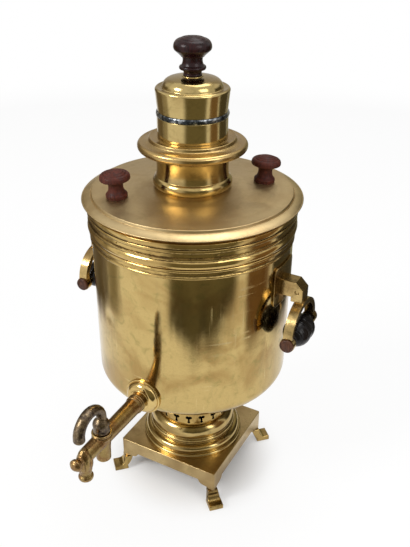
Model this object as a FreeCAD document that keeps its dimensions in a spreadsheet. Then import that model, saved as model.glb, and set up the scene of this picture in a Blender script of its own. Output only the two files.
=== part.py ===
"""A brass charcoal samovar: square plinth on four feet, round body, fire tube, lid, crown, cap and tap.

Frame: +Z up, the origin on the floor under the axis of the body, the tap towards -Y and the two
handles on +X and -X. Lengths are in millimetres and angles in degrees.
"""
import FreeCAD, Part
import math
import os

import Sketcher

doc = FreeCAD.newDocument("samovar")
sheet = doc.addObject("Spreadsheet::Sheet", "Sizes")
places = doc.addObject("Spreadsheet::Sheet", "Places")


class Size:
    """A number of the model together with the expression that ties a feature to the sheet."""

    def __init__(self, value, text):
        self.value = value
        self.text = text

    def __add__(self, other):
        return combine(self, "+", other, lambda a, b: a + b)

    def __radd__(self, other):
        return combine(other, "+", self, lambda a, b: a + b)

    def __sub__(self, other):
        return combine(self, "-", other, lambda a, b: a - b)

    def __rsub__(self, other):
        return combine(other, "-", self, lambda a, b: a - b)

    def __mul__(self, other):
        return combine(self, "*", other, lambda a, b: a * b)

    def __rmul__(self, other):
        return combine(other, "*", self, lambda a, b: a * b)

    def __truediv__(self, other):
        return combine(self, "/", other, lambda a, b: a / b)

    def __neg__(self):
        return 0 - self


def number(item):
    """The plain number of a Size or of a number."""
    return item.value if isinstance(item, Size) else float(item)


def words(item):
    """The expression of a Size or of a number."""
    return item.text if isinstance(item, Size) else repr(item)


def combine(left, sign, right, rule):
    """The Size that stands for left, sign, right."""
    return Size(rule(number(left), number(right)), "(%s %s %s)" % (words(left), sign, words(right)))


def cosine(angle):
    return Size(math.cos(math.radians(number(angle))), "cos(%s * 1deg)" % words(angle))


def sine(angle):
    return Size(math.sin(math.radians(number(angle))), "sin(%s * 1deg)" % words(angle))


def tangent(angle):
    return Size(math.tan(math.radians(number(angle))), "tan(%s * 1deg)" % words(angle))


row_count = {"Sizes": 0, "Places": 0}


def cell(table, alias, content):
    """Writes one named cell into a sheet."""
    row_count[table.Name] += 1
    row = row_count[table.Name]
    table.set("A%d" % row, alias)
    table.set("B%d" % row, content)
    table.setAlias("B%d" % row, alias)
    return table.Name + "." + alias


def size(alias, value):
    """Writes one driving dimension into the sheet of sizes and returns it."""
    return Size(float(value), cell(sheet, alias, str(value)))


def place(alias, item):
    """Writes a worked-out level or radius into the sheet of places and returns it."""
    return Size(item.value, cell(places, alias, "=" + item.text))


def tiers(piece, **steps):
    """The steps of a turned moulding, each with its inset, rise and bulge, written into the sheet."""
    made = []
    for step, values in steps.items():
        made.append([size("%s_%s_%s" % (piece, step, part), value) if value else 0
                     for part, value in zip(("inset", "rise", "bulge"), values)])
    return made


def climb(piece, radius, level, steps):
    """The outline points that a moulding's steps make above the point (radius, level)."""
    points = []
    for index, (inset, rise, bulge) in enumerate(steps):
        radius = place("%s_radius_%d" % (piece, index), radius - inset)
        level = place("%s_level_%d" % (piece, index), level + rise)
        points.append((radius, level, bulge) if bulge else (radius, level))
    return points


def bind(feature, name, item):
    """Sets a property of a feature, and its expression where the item is a Size."""
    if isinstance(item, Size):
        feature.setExpression(name, item.text)
    else:
        setattr(feature, name, item)


def pin(sketch, kind, geometry, end, item):
    """Ties one coordinate of a sketch point to the sketch's origin or axis."""
    if not isinstance(item, Size) and item == 0:
        axis = -2 if kind == "DistanceX" else -1
        sketch.addConstraint(Sketcher.Constraint("PointOnObject", geometry, end, axis))
        return
    index = sketch.addConstraint(Sketcher.Constraint(kind, -1, 1, geometry, end, number(item)))
    if isinstance(item, Size):
        sketch.setExpression("Constraints[%d]" % index, item.text)


def origin_plane(body, role):
    return [item for item in body.Origin.OriginFeatures if item.Role == role][0]


def new_sketch(body, name, plane, offset=None):
    """A sketch on one of the body's own origin planes, moved along its normal by offset."""
    sketch = body.newObject("Sketcher::SketchObject", body.Name + "_" + name)
    sketch.AttachmentSupport = [(origin_plane(body, plane), "")]
    sketch.MapMode = "FlatFace"
    if offset is not None:
        sketch.setExpression("AttachmentOffset.Base.z", words(offset))
    return sketch


def closed_outline(sketch, points):
    """Draws a closed outline of lines and arcs through the points, counter-clockwise.

    A point is (x, y), reached by a line, or (x, y, bulge), reached by an arc whose middle stands
    bulge to the outside of its chord, or to the inside where bulge is negative. A half circle
    spans a level chord.
    """
    flat = [(number(point[0]), number(point[1])) for point in points]
    ends = []
    for index, point in enumerate(points):
        x0, y0 = flat[index - 1]
        x1, y1 = flat[index]
        start = FreeCAD.Vector(x0, y0, 0)
        stop = FreeCAD.Vector(x1, y1, 0)
        if len(point) == 2:
            geometry = sketch.addGeometry(Part.LineSegment(start, stop), False)
            ends.append((geometry, 1, 2))
            continue
        bulge = point[2]
        chord = math.hypot(x1 - x0, y1 - y0)
        outward = FreeCAD.Vector((y1 - y0) / chord, (x0 - x1) / chord, 0)
        middle = (start + stop) * 0.5 + outward * number(bulge)
        if number(bulge) > 0:
            geometry = sketch.addGeometry(Part.Arc(start, middle, stop), False)
            ends.append((geometry, 1, 2))
        else:
            geometry = sketch.addGeometry(Part.Arc(stop, middle, start), False)
            ends.append((geometry, 2, 1))
    for index, (geometry, first, last) in enumerate(ends):
        previous = ends[index - 1]
        sketch.addConstraint(Sketcher.Constraint("Coincident", previous[0], previous[2], geometry, first))
    for (geometry, first, last), point in zip(ends, points):
        pin(sketch, "DistanceX", geometry, last, point[0])
        pin(sketch, "DistanceY", geometry, last, point[1])
    for index, point in enumerate(points):
        if len(point) == 3:
            size_arc(sketch, ends[index][0], points[index - 1], point)


def size_arc(sketch, geometry, before, point):
    """Ties the radius of an arc to its bulge, or its centre to its ends where it is a half circle."""
    run = point[0] - before[0]
    rise = point[1] - before[1]
    bulge = point[2]
    if abs(math.hypot(number(run), number(rise)) / 2 - abs(number(bulge))) < 1e-9:
        pin(sketch, "DistanceY", geometry, 3, point[1])
        return
    reach = (run * run + rise * rise) / 4 + bulge * bulge
    sag = bulge * 2 if number(bulge) > 0 else bulge * -2
    radius = reach / sag
    index = sketch.addConstraint(Sketcher.Constraint("Radius", geometry, number(radius)))
    sketch.setExpression("Constraints[%d]" % index, words(radius))


def circle(sketch, x, y, radius):
    """Draws one circle whose centre and radius are tied to the sheet."""
    centre = FreeCAD.Vector(number(x), number(y), 0)
    shape = Part.Circle(centre, FreeCAD.Vector(0, 0, 1), number(radius))
    geometry = sketch.addGeometry(shape, False)
    pin(sketch, "DistanceX", geometry, 3, x)
    pin(sketch, "DistanceY", geometry, 3, y)
    index = sketch.addConstraint(Sketcher.Constraint("Radius", geometry, number(radius)))
    sketch.setExpression("Constraints[%d]" % index, words(radius))


def upright_axis(sketch, x):
    """Draws the construction line at x that a feature turns about."""
    low = FreeCAD.Vector(number(x), 0, 0)
    high = FreeCAD.Vector(number(x), 1, 0)
    geometry = sketch.addGeometry(Part.LineSegment(low, high), True)
    sketch.addConstraint(Sketcher.Constraint("Vertical", geometry))
    pin(sketch, "DistanceX", geometry, 1, x)
    pin(sketch, "DistanceY", geometry, 1, 0)
    sketch.addConstraint(Sketcher.Constraint("Distance", geometry, 1.0))


pieces = []


def new_body(name):
    """A body for one piece of the samovar, named as the piece."""
    body = doc.addObject("PartDesign::Body", name)
    body.Label = name
    pieces.append(body)
    return body


def settle(body, feature):
    """Recomputes, and stops if a feature has failed or has changed nothing."""
    doc.recompute()
    before = feature.BaseFeature.Shape.Volume if feature.BaseFeature else 0.0
    if not feature.isValid() or abs(feature.Shape.Volume - before) < 1e-6:
        raise RuntimeError("no change from %s in %s" % (feature.Name, body.Label))
    return feature


def turn(body, name, outline, kind="PartDesign::Revolution", axis="V_Axis", about=None, angle=360.0,
         plane="XZ_Plane", offset=None):
    """Turns an outline, or what a function draws, about an axis of the sketch or the upright at about.

    A Revolution adds the turned shape to the body and a Groove cuts it away.
    """
    sketch = new_sketch(body, name + "_outline", plane, offset)
    if about is not None:
        upright_axis(sketch, about)
        axis = "Axis0"
    if callable(outline):
        outline(sketch)
    else:
        closed_outline(sketch, outline)
    feature = body.newObject(kind, body.Name + "_" + name)
    feature.Profile = sketch
    feature.ReferenceAxis = (sketch, [axis])
    bind(feature, "Angle", angle)
    return settle(body, feature)


def turned(name, outline):
    """A piece that is one turned shape about the upright axis."""
    body = new_body(name)
    turn(body, "turning", outline)
    return body


def extrude(body, name, draw, length, plane, kind="PartDesign::Pad", offset=None, both=True,
            reverse=False):
    """Pads or pockets a sketch that draw fills in, by length, to both sides or to one."""
    sketch = new_sketch(body, name + "_sketch", plane, offset)
    draw(sketch)
    feature = body.newObject(kind, body.Name + "_" + name)
    feature.Profile = sketch
    feature.SideType = "Symmetric" if both else "One side"
    feature.Reversed = reverse
    bind(feature, "Length", length)
    return settle(body, feature)


def ring_of(body, name, features, count, whole_turn=360.0):
    """Repeats features around the upright axis and makes the pattern the body's tip."""
    pattern = body.newObject("PartDesign::PolarPattern", body.Name + "_" + name)
    pattern.Originals = features
    pattern.Axis = (features[0].Profile[0], ["V_Axis"])
    pattern.Angle = whole_turn
    bind(pattern, "Occurrences", count)
    body.Tip = pattern
    doc.recompute()
    return pattern


def put(body, x=0, y=0, z=0, rotation=None):
    """Places a piece: the rotation is fixed and the base point is tied to the sheet."""
    turned_by = rotation if rotation is not None else FreeCAD.Rotation()
    base = FreeCAD.Vector(number(x), number(y), number(z))
    body.Placement = FreeCAD.Placement(base, turned_by)
    for axis, item in (("x", x), ("y", y), ("z", z)):
        if isinstance(item, Size):
            body.setExpression("Placement.Base." + axis, item.text)


def about_z(angle):
    return FreeCAD.Rotation(FreeCAD.Vector(0, 0, 1), angle)


# Plinth: a square cast tray with an apron whose ends drop as brackets over the feet
neck_radius = size("neck_radius", 43.2)
base_spread = size("base_spread", 16.8)
plinth_margin = size("plinth_margin", 3.4)
plinth_sheet = size("plinth_sheet", 3.0)
apron_wall = size("apron_wall", 3.2)
apron_height = size("apron_height", 17.0)
bracket_drop = size("bracket_drop", 9.0)
bracket_length = size("bracket_length", 20.0)
bracket_heel = size("bracket_heel", 6.0)
bracket_step = size("bracket_step", 3.4)
foot_height = size("foot_height", 17.5)
corner_round = size("corner_round", 2.4)
base_bore_inset = size("base_bore_inset", 3.6)

base_radius = place("base_radius", neck_radius + base_spread)
plinth_side = place("plinth_side", (base_radius + plinth_margin) * 2)
base_bore = place("base_bore", neck_radius - base_bore_inset)
plinth_top = place("plinth_top", foot_height + bracket_drop + apron_height)


def square(side):
    half = side / 2
    return [(-half, -half), (half, -half), (half, half), (-half, half)]


def make_plinth():
    body = new_body("plinth")
    extrude(body, "block", lambda s: closed_outline(s, square(plinth_side)),
            apron_height + bracket_drop, "XY_Plane", both=False)
    hollow = plinth_side - apron_wall * 2
    extrude(body, "hollow", lambda s: closed_outline(s, square(hollow)),
            apron_height + bracket_drop - plinth_sheet, "XY_Plane", "PartDesign::Pocket",
            both=False, reverse=True)
    extrude(body, "air_way", lambda s: circle(s, 0, 0, base_bore),
            (apron_height + bracket_drop) * 2, "XY_Plane", "PartDesign::Pocket")
    heel = plinth_side / 2 - bracket_heel
    tip = plinth_side / 2 - bracket_length
    arch = [(-heel, 0, -bracket_step / 4), (heel, 0), (tip, bracket_drop - bracket_step, -bracket_step / 4),
            (tip, bracket_drop), (-tip, bracket_drop), (-tip, bracket_drop - bracket_step)]
    for plane in ("XZ_Plane", "YZ_Plane"):
        extrude(body, "arch_" + plane[:2], lambda s: closed_outline(s, arch),
                plinth_side * 2, plane, "PartDesign::Pocket")
    pocketed = body.Tip
    edges = []
    for index, edge in enumerate(pocketed.Shape.Edges):
        low, high = edge.BoundBox.ZMin, edge.BoundBox.ZMax
        reach = max(abs(edge.BoundBox.XMin), abs(edge.BoundBox.YMin))
        if high - low > number(apron_height) and abs(reach - number(plinth_side) / 2) < 1e-3:
            edges.append("Edge%d" % (index + 1))
    rounding = body.newObject("PartDesign::Fillet", "plinth_rounding")
    rounding.Base = (pocketed, edges)
    bind(rounding, "Radius", corner_round)
    settle(body, rounding)
    put(body, 0, 0, foot_height)


# Feet: four cast feet on the diagonals of the plinth, each with a curved neck and a block toe
toe_overhang = size("toe_overhang", 12.83)
toe_length = size("toe_length", 16.5)
toe_height = size("toe_height", 6.0)
toe_width = size("toe_width", 16.5)
ankle_width = size("ankle_width", 11.5)
ankle_depth = size("ankle_depth", 9.5)
ankle_curve = size("ankle_curve", 2.6)

corner_reach = place("corner_reach", (plinth_side / 2 - corner_round) * math.sqrt(2) + corner_round)
foot_reach = place("foot_reach", corner_reach + toe_overhang)


def make_foot(name, angle):
    body = new_body(name)
    toe_heel = foot_reach - toe_length
    toe = [(toe_heel, 0), (foot_reach, 0), (foot_reach, toe_height * 0.75),
           (foot_reach - toe_length / 4, toe_height), (toe_heel, toe_height)]
    extrude(body, "toe", lambda s: closed_outline(s, toe), toe_width, "XZ_Plane")
    shin = corner_reach - 0.4
    calf = shin - ankle_depth
    instep = foot_reach - toe_length / 4
    ankle = [(toe_heel, 0, ankle_curve), (instep, 0), (instep, toe_height),
             (shin, foot_height, -ankle_curve), (calf, foot_height)]
    extrude(body, "ankle", lambda s: closed_outline(s, ankle), ankle_width, "XZ_Plane")
    put(body, 0, 0, 0, about_z(angle))


foot_angles = {"front_left": 225, "front_right": 315, "back_right": 45, "back_left": 135}

# Pedestal: a hollow casting turned as a foot band, a round, two fillets and a large torus
brass_sheet = size("brass_sheet", 1.2)
pedestal_steps = tiers(
    "pedestal",
    foot_band=(0, 2.6, 0),
    foot_round=(2.2, 2.4, 0.7),
    lower_ledge=(1.2, 0, 0),
    lower_rise=(0, 1.2, 0),
    lower_round=(4.8, 7.2, 2.4),
    middle_ledge=(0.7, 0, 0),
    middle_band=(0, 2.8, 0),
    upper_ledge=(1.1, 0, 0),
    upper_bead=(0.9, 3.4, 1.3),
    torus_ledge=(0.5, 0.6, 0),
)
pedestal_height = size("pedestal_height", 36.6)
torus_bulge = size("torus_bulge", 3.8)
pedestal_lip = size("pedestal_lip", 0.9)
pedestal_wall = size("pedestal_wall", 2.6)

neck_bottom = place("neck_bottom", plinth_top + pedestal_height)
pedestal_side = climb("pedestal", base_radius, plinth_top, pedestal_steps)


def make_pedestal():
    seat = neck_radius - brass_sheet
    hollow = base_radius - pedestal_wall * 2
    waist = pedestal_side[-1][0] - pedestal_wall
    ledge = pedestal_side[4][1]
    foot = [(hollow, plinth_top), (base_radius, plinth_top)]
    torus = [(neck_radius + pedestal_lip, neck_bottom, torus_bulge), (seat, neck_bottom)]
    inside = [(seat, neck_bottom - 2.0), (waist, neck_bottom - 7.0), (waist, pedestal_side[-1][1]),
              (pedestal_side[5][0] - pedestal_wall * 1.3, ledge - 0.4), (hollow, plinth_top + 4.4)]
    turned("pedestal", foot + pedestal_side + torus + inside)


# Air neck: the sheet ring under the body, pierced with clover holes that let air to the fire
neck_height = size("neck_height", 35.9)
flange_spread = size("flange_spread", 5.8)
flange_sheet = size("flange_sheet", 1.6)
grate_ledge_inset = size("grate_ledge_inset", 5.2)
air_hole_count = size("air_hole_count", 18)
air_hole_level = size("air_hole_level", 11.2)
clover_leaf = size("clover_leaf", 2.1)
clover_spread = size("clover_spread", 1.7)
clover_stem = size("clover_stem", 2.2)
clover_drop = size("clover_drop", 6.6)
clover_foot = size("clover_foot", 1.7)
air_hole_phase = size("air_hole_phase", 3.0)

body_bottom = place("body_bottom", neck_bottom + neck_height)
neck_flange = place("neck_flange", neck_radius + flange_spread)
grate_ledge = place("grate_ledge", neck_radius - grate_ledge_inset)


def make_air_neck():
    body = new_body("air_neck")
    inner = neck_radius - brass_sheet
    under = body_bottom - flange_sheet
    turn(body, "wall", [(inner, neck_bottom), (neck_radius, neck_bottom), (neck_radius, under),
                        (neck_flange, under), (neck_flange, body_bottom), (grate_ledge, body_bottom),
                        (grate_ledge, under), (inner, under)])
    level = neck_bottom + air_hole_level
    cuts = []
    shapes = (
        ("leaf_left", lambda s: circle(s, -clover_spread, level, clover_leaf)),
        ("leaf_right", lambda s: circle(s, clover_spread, level, clover_leaf)),
        ("foot", lambda s: circle(s, 0, level - clover_drop, clover_foot)),
        ("stem", lambda s: closed_outline(s, [
            (-clover_stem / 2, level - clover_drop), (clover_stem / 2, level - clover_drop),
            (clover_stem / 2, level), (-clover_stem / 2, level)])),
    )
    for name, draw in shapes:
        cuts.append(extrude(body, name, draw, neck_radius * 2, "XZ_Plane", "PartDesign::Pocket",
                            both=False, reverse=True))
    ring_of(body, "holes", cuts, air_hole_count)
    put(body, 0, 0, 0, about_z(number(air_hole_phase)))


# Body: the water jacket, a sheet cylinder whose lower edge is rounded into a shallow dish
body_radius = size("body_radius", 106.3)
heel_radius = size("heel_radius", 17.5)
dish_angle = size("dish_angle", 30.0)
dish_flat_margin = size("dish_flat_margin", 1.0)
wall_height = size("wall_height", 190.9)
tube_foot_inset = size("tube_foot_inset", 0.4)
tap_rise = size("tap_rise", 49.5)
stem_radius = size("stem_radius", 9.2)

dish_flat = place("dish_flat", neck_flange + dish_flat_margin)
tube_foot_radius = place("tube_foot_radius", neck_radius - tube_foot_inset)
heel_axis = place("heel_axis", body_radius - heel_radius)
heel_end = heel_axis + heel_radius * sine(dish_angle)
dish_rise = (heel_end - dish_flat) * tangent(dish_angle) + heel_radius * cosine(dish_angle)
heel_level = place("heel_level", body_bottom + dish_rise)
body_top = place("body_top", heel_level + wall_height)
mouth_radius = place("mouth_radius", body_radius - brass_sheet)
tap_level = place("tap_level", body_bottom + tap_rise)


def body_skin(inset):
    """The lower skin of the body from the dish's flat to the wall, moved in by inset."""
    bend = heel_radius - inset
    flat = dish_flat - inset * tangent(dish_angle / 2)
    sweep_sag = bend * (1 - cosine((90 - dish_angle) / 2))
    return [(flat, body_bottom + inset),
            (heel_axis + bend * sine(dish_angle), heel_level - bend * cosine(dish_angle)),
            (body_radius - inset, heel_level, sweep_sag)]


def make_body():
    body = new_body("body_shell")
    inner = body_skin(brass_sheet)
    flat, bend, wall = inner
    outline = [(tube_foot_radius, body_bottom)] + body_skin(0)
    outline += [(body_radius, body_top), (mouth_radius, body_top), (wall[0], wall[1]),
                (bend[0], bend[1], -wall[2]), (flat[0], flat[1]),
                (tube_foot_radius, body_bottom + brass_sheet)]
    turn(body, "wall", outline)
    extrude(body, "tap_hole", lambda s: circle(s, 0, tap_level, stem_radius), body_radius * 2,
            "XZ_Plane", "PartDesign::Pocket", both=False, reverse=True)


# Bands: a beaded band and a cornice soldered round the top of the body, the cornice over its rim
band_height = size("band_height", 36.2)
lower_band_steps = tiers(
    "band",
    bottom_edge=(-0.5, 0, 0),
    bottom_bead=(0, 3.2, 1.1),
    middle_groove=(0.2, 0.3, 0),
    middle_flat=(0, 3.4, 0),
    top_edge=(-0.6, 0.2, 0),
    top_bead=(0, 3.5, 1.3),
)
cornice_steps = tiers(
    "cornice",
    bottom_edge=(-0.8, 0, 0),
    torus=(-0.6, 9.0, 2.3),
    groove=(0.2, 0.4, 0),
    ledge=(-1.3, 0.2, 0),
    fillet=(0, 2.8, 0.4),
    band_foot=(1.2, 0.2, 0),
    band=(0, 4.8, 0),
    rim_foot=(-1.3, 0.2, 0),
    rim=(0, 3.3, 0.5),
    throat=(1.2, 0.3, 0),
    throat_wall=(0, 0.8, 0),
    lip_foot=(-1.5, 0.2, 0),
)
cornice_lip = size("cornice_lip", 2.6)
seat_lift = size("seat_lift", 1.5)

band_bottom = place("band_bottom", body_top - band_height)
seat_level = place("seat_level", body_top + seat_lift)


band_side = climb("band", body_radius, band_bottom, lower_band_steps)
band_top = band_side[-1][1]
cornice_side = climb("cornice", body_radius, band_top, cornice_steps)
lip_radius = cornice_side[-1][0]


def make_bands():
    turned("beaded_band", [(body_radius, band_bottom)] + band_side + [(body_radius, band_top)])
    turned("cornice", [(body_radius, band_top)] + cornice_side + [
        (lip_radius, seat_level - 0.6, cornice_lip / 8), (lip_radius - 0.8, seat_level, 0.2),
        (mouth_radius, seat_level), (mouth_radius, body_top), (body_radius, body_top)])


# Rivets: six small round-headed pins that hold the cornice
rivet_radius = size("rivet_radius", 1.1)
rivet_proud = size("rivet_proud", 0.7)
rivet_crest = size("rivet_crest", 0.3)
rivet_angles = (-48, -103, -160, 132, 77, 17)

rivet_level = place("rivet_level", (cornice_side[5][1] + cornice_side[6][1]) / 2)


def make_rivets():
    """Each head is drawn on its own axis, standing on the flat band of the cornice."""
    band_face = cornice_side[5][0]
    head = [(0, 0), (rivet_radius, 0), (rivet_radius - 0.1, rivet_proud * 0.5),
            (rivet_radius - 0.4, rivet_proud * 0.85), (rivet_crest, rivet_proud), (0, rivet_proud)]
    for index, angle in enumerate(rivet_angles):
        body = new_body("rivet_%d" % (index + 1))
        turn(body, "head", head)
        outward = about_z(angle) * FreeCAD.Rotation(FreeCAD.Vector(0, 1, 0), 90)
        put(body, band_face * cosine(angle), band_face * sine(angle), rivet_level, outward)


# Fire tube: the tinned jug that holds the charcoal, wide at the foot and narrow above the water
tube_radius = size("tube_radius", 31.4)
tube_sheet = size("tube_sheet", 1.2)
tube_foot_height = size("tube_foot_height", 34.0)
tube_shoulder = size("tube_shoulder", 26.0)
tube_above_seat = size("tube_above_seat", 64.0)

tube_top = place("tube_top", seat_level + tube_above_seat)


def make_fire_tube():
    shoulder_start = body_bottom + tube_foot_height
    shoulder_stop = shoulder_start + tube_shoulder
    turned("fire_tube", [
        (tube_foot_radius - tube_sheet, body_bottom), (tube_foot_radius, body_bottom),
        (tube_foot_radius, shoulder_start), (tube_radius, shoulder_stop),
        (tube_radius, tube_top), (tube_radius - tube_sheet, tube_top),
        (tube_radius - tube_sheet, shoulder_stop), (tube_foot_radius - tube_sheet, shoulder_start)])


# Grate: a cast plate with slots, trapped on the neck's ledge by the foot of the fire tube
grate_gap = size("grate_gap", 0.5)
grate_sheet = size("grate_sheet", 4.0)
slot_width = size("slot_width", 5.0)
slot_length = size("slot_length", 56.0)
slot_pitch = size("slot_pitch", 11.0)
slot_places = (-2, -1, 0, 1, 2)


def make_grate():
    body = new_body("grate")
    radius = tube_foot_radius - tube_sheet - grate_gap
    extrude(body, "plate", lambda s: circle(s, 0, 0, radius), grate_sheet, "XY_Plane", both=False)
    for index, step in enumerate(slot_places):
        half = slot_length * (0.5 - 0.06 * step * step)
        left = slot_pitch * step - slot_width / 2
        slot = [(left, -half), (left + slot_width, -half), (left + slot_width, half), (left, half)]
        extrude(body, "slot_%d" % index, lambda s: closed_outline(s, slot), grate_sheet * 3,
                "XY_Plane", "PartDesign::Pocket")
    put(body, 0, 0, body_bottom)


# Tap: a rose on the body, then one casting of stem, tapered barrel and spout, and the loose key.
# These pieces are drawn with the tap along +X at the level of the stem, and turned to -Y.
rose_radius = size("rose_radius", 20.3)
rose_rim = size("rose_rim", 1.8)
rose_height = size("rose_height", 8.5)
rose_hub = size("rose_hub", 11.0)
stem_entry = size("stem_entry", 5.0)
stem_tip_radius = size("stem_tip_radius", 8.2)
stem_ring = size("stem_ring", 0.6)
barrel_overhang = size("barrel_overhang", 73.3)
barrel_top_radius = size("barrel_top_radius", 8.9)
barrel_foot_radius = size("barrel_foot_radius", 7.4)
barrel_above = size("barrel_above", 9.8)
barrel_below = size("barrel_below", 25.0)
barrel_collar = size("barrel_collar", 0.9)
collar_height = size("collar_height", 4.2)
seat_top_radius = size("seat_top_radius", 6.4)
seat_foot_radius = size("seat_foot_radius", 5.0)
key_gap = size("key_gap", 0.06)
bore_radius = size("bore_radius", 3.4)
spout_pitch = size("spout_pitch", 28.9)
spout_radius = size("spout_radius", 8.0)
spout_top = size("spout_top", 10.2)
spout_belly = size("spout_belly", 15.0)
spout_throat = size("spout_throat", 5.6)
mouth_ring_radius = size("mouth_ring_radius", 6.9)
mouth_ring_height = size("mouth_ring_height", 5.4)
mouth_level = size("mouth_level", 26.8)
button_radius = size("button_radius", 6.0)
button_overhang = size("button_overhang", 17.0)
button_dome = size("button_dome", 2.6)
leaf_proud = size("leaf_proud", 0.9)
leaf_bulge = size("leaf_bulge", 9.2)
leaf_sheet = size("leaf_sheet", 3.0)

barrel_reach = place("barrel_reach", body_radius + barrel_overhang)
spout_reach = place("spout_reach", barrel_reach + spout_pitch)
button_reach = place("button_reach", spout_reach + button_overhang)
towards_tap = FreeCAD.Rotation(FreeCAD.Vector(0, 0, 1), -90)


def make_rose():
    body = new_body("tap_rose")
    face = body_radius
    flange = rose_rim
    dome = [(heel_axis, stem_radius), (face + rose_height, stem_radius), (face + rose_height, rose_hub),
            (face + flange, rose_radius, rose_rim / 1.2), (heel_axis, rose_radius)]
    turn(body, "dome", dome, axis="H_Axis")
    skin = body_skin(0)
    level = [(point[0], point[1] - tap_level) + tuple(point[2:]) for point in skin]
    outline = [(0, level[0][1])] + level + [(body_radius, rose_radius * 2), (0, rose_radius * 2)]
    turn(body, "back", outline, "PartDesign::Groove")
    put(body, 0, 0, tap_level, towards_tap)


def make_tap_body():
    body = new_body("tap_body")
    root = body_radius - stem_entry
    neck = body_radius + rose_height + 3
    ring = stem_radius + stem_ring
    stem = [(root, 0), (button_reach - button_dome, 0), (button_reach - button_dome, button_radius),
            (spout_reach, button_radius), (spout_reach, stem_tip_radius * 0.94),
            (barrel_reach, stem_tip_radius), (neck + 6, stem_radius - 0.3),
            (neck + 5, ring, 0.2), (neck + 3, ring), (neck + 2.6, stem_radius), (root, stem_radius)]
    turn(body, "stem", stem, axis="H_Axis")
    tip = [(button_reach - button_dome, 0), (button_reach, 0),
           (button_reach - button_dome, button_radius, button_dome / 2.4)]
    turn(body, "button", tip, axis="H_Axis")
    collar = barrel_reach + barrel_top_radius + barrel_collar
    barrel = [(barrel_reach, -barrel_below), (barrel_reach + barrel_foot_radius - 1.2, -barrel_below),
              (barrel_reach + barrel_foot_radius, 1.2 - barrel_below, 0.3),
              (barrel_reach + barrel_top_radius, barrel_above - collar_height),
              (collar, barrel_above - collar_height + 0.3),
              (collar, barrel_above, barrel_collar / 2), (barrel_reach, barrel_above)]
    turn(body, "barrel", barrel, about=barrel_reach)
    rim = mouth_ring_height - mouth_level
    spout = [(spout_reach, -mouth_level), (spout_reach + mouth_ring_radius, -mouth_level),
             (spout_reach + mouth_ring_radius, rim, 0.8), (spout_reach + spout_throat, rim + 0.8),
             (spout_reach + spout_radius, spout_top - spout_belly, 0.9),
             (spout_reach, spout_top, 3.4)]
    turn(body, "spout", spout, about=spout_reach)
    low = rim + 1.6
    leaf = [(spout_reach, low), (spout_reach, spout_top + leaf_proud, leaf_bulge),
            (spout_reach, low, leaf_bulge)]
    extrude(body, "leaf", lambda s: closed_outline(s, leaf[1:]), leaf_sheet, "XZ_Plane")
    seat = [(barrel_reach, -barrel_below - 1), (barrel_reach + seat_foot_radius, -barrel_below - 1),
            (barrel_reach + seat_foot_radius, -barrel_below),
            (barrel_reach + seat_top_radius, barrel_above),
            (barrel_reach + seat_top_radius, barrel_above + 1), (barrel_reach, barrel_above + 1)]
    turn(body, "seat", seat, "PartDesign::Groove", about=barrel_reach)
    bore = [(root - 1, 0), (spout_reach, 0), (spout_reach, bore_radius), (root - 1, bore_radius)]
    turn(body, "waterway", bore, "PartDesign::Groove", axis="H_Axis")
    drop = [(spout_reach, -mouth_level - 1), (spout_reach + bore_radius, -mouth_level - 1),
            (spout_reach + bore_radius, 0), (spout_reach, 0)]
    turn(body, "outlet", drop, "PartDesign::Groove", about=spout_reach)
    put(body, 0, 0, tap_level, towards_tap)


# Key: the tapered plug that the tap turns, with its cross bore and a hook of one thick bar
head_height = size("head_height", 15.0)
head_radius = size("head_radius", 8.3)
hook_radius = size("hook_radius", 17.4)
hook_bar = size("hook_bar", 4.7)
hook_level = size("hook_level", 26.5)
hook_axis = size("hook_axis", 16.0)
hook_sweep = size("hook_sweep", 184.0)
tip_radius = size("tip_radius", 5.7)
tip_above = size("tip_above", 12.0)
tip_below = size("tip_below", 5.0)
tail_proud = size("tail_proud", 1.4)


def make_key():
    """The key is drawn about its own axis, with the hook towards +X."""
    body = new_body("tap_key")
    slope = (seat_top_radius - seat_foot_radius) / (barrel_above + barrel_below)
    foot = seat_foot_radius - key_gap - slope * tail_proud
    top = seat_top_radius - key_gap
    face = barrel_above + key_gap * 5
    plug = [(0, -barrel_below - tail_proud), (foot, -barrel_below - tail_proud), (top, barrel_above),
            (top, face), (head_radius, face), (head_radius, barrel_above + head_height * 0.25, 0.5),
            (hook_bar + 0.8, barrel_above + head_height, 1.6), (0, barrel_above + head_height + 2, 0.6)]
    turn(body, "plug", plug)
    root = hook_axis - hook_radius
    extrude(body, "hook_root", lambda s: circle(s, root, 0, hook_bar),
            hook_level - barrel_above - head_height / 3, "XY_Plane", both=False,
            offset=barrel_above + head_height / 3)
    turn(body, "hook", lambda s: circle(s, root, 0, hook_bar), about=hook_axis, angle=hook_sweep,
         plane="XY_Plane", offset=hook_level)
    end = hook_axis + hook_radius
    swell = tip_radius * 0.36
    tip = [(end, hook_level - tip_below), (end + tip_radius, hook_level + tip_radius / 3, swell),
           (end, hook_level + tip_above, swell)]
    turn(body, "hook_tip", tip, about=end)
    extrude(body, "cross_bore", lambda s: circle(s, 0, 0, bore_radius), head_radius * 4, "YZ_Plane",
            "PartDesign::Pocket")
    put(body, 0, -barrel_reach, tap_level, towards_tap)


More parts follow.
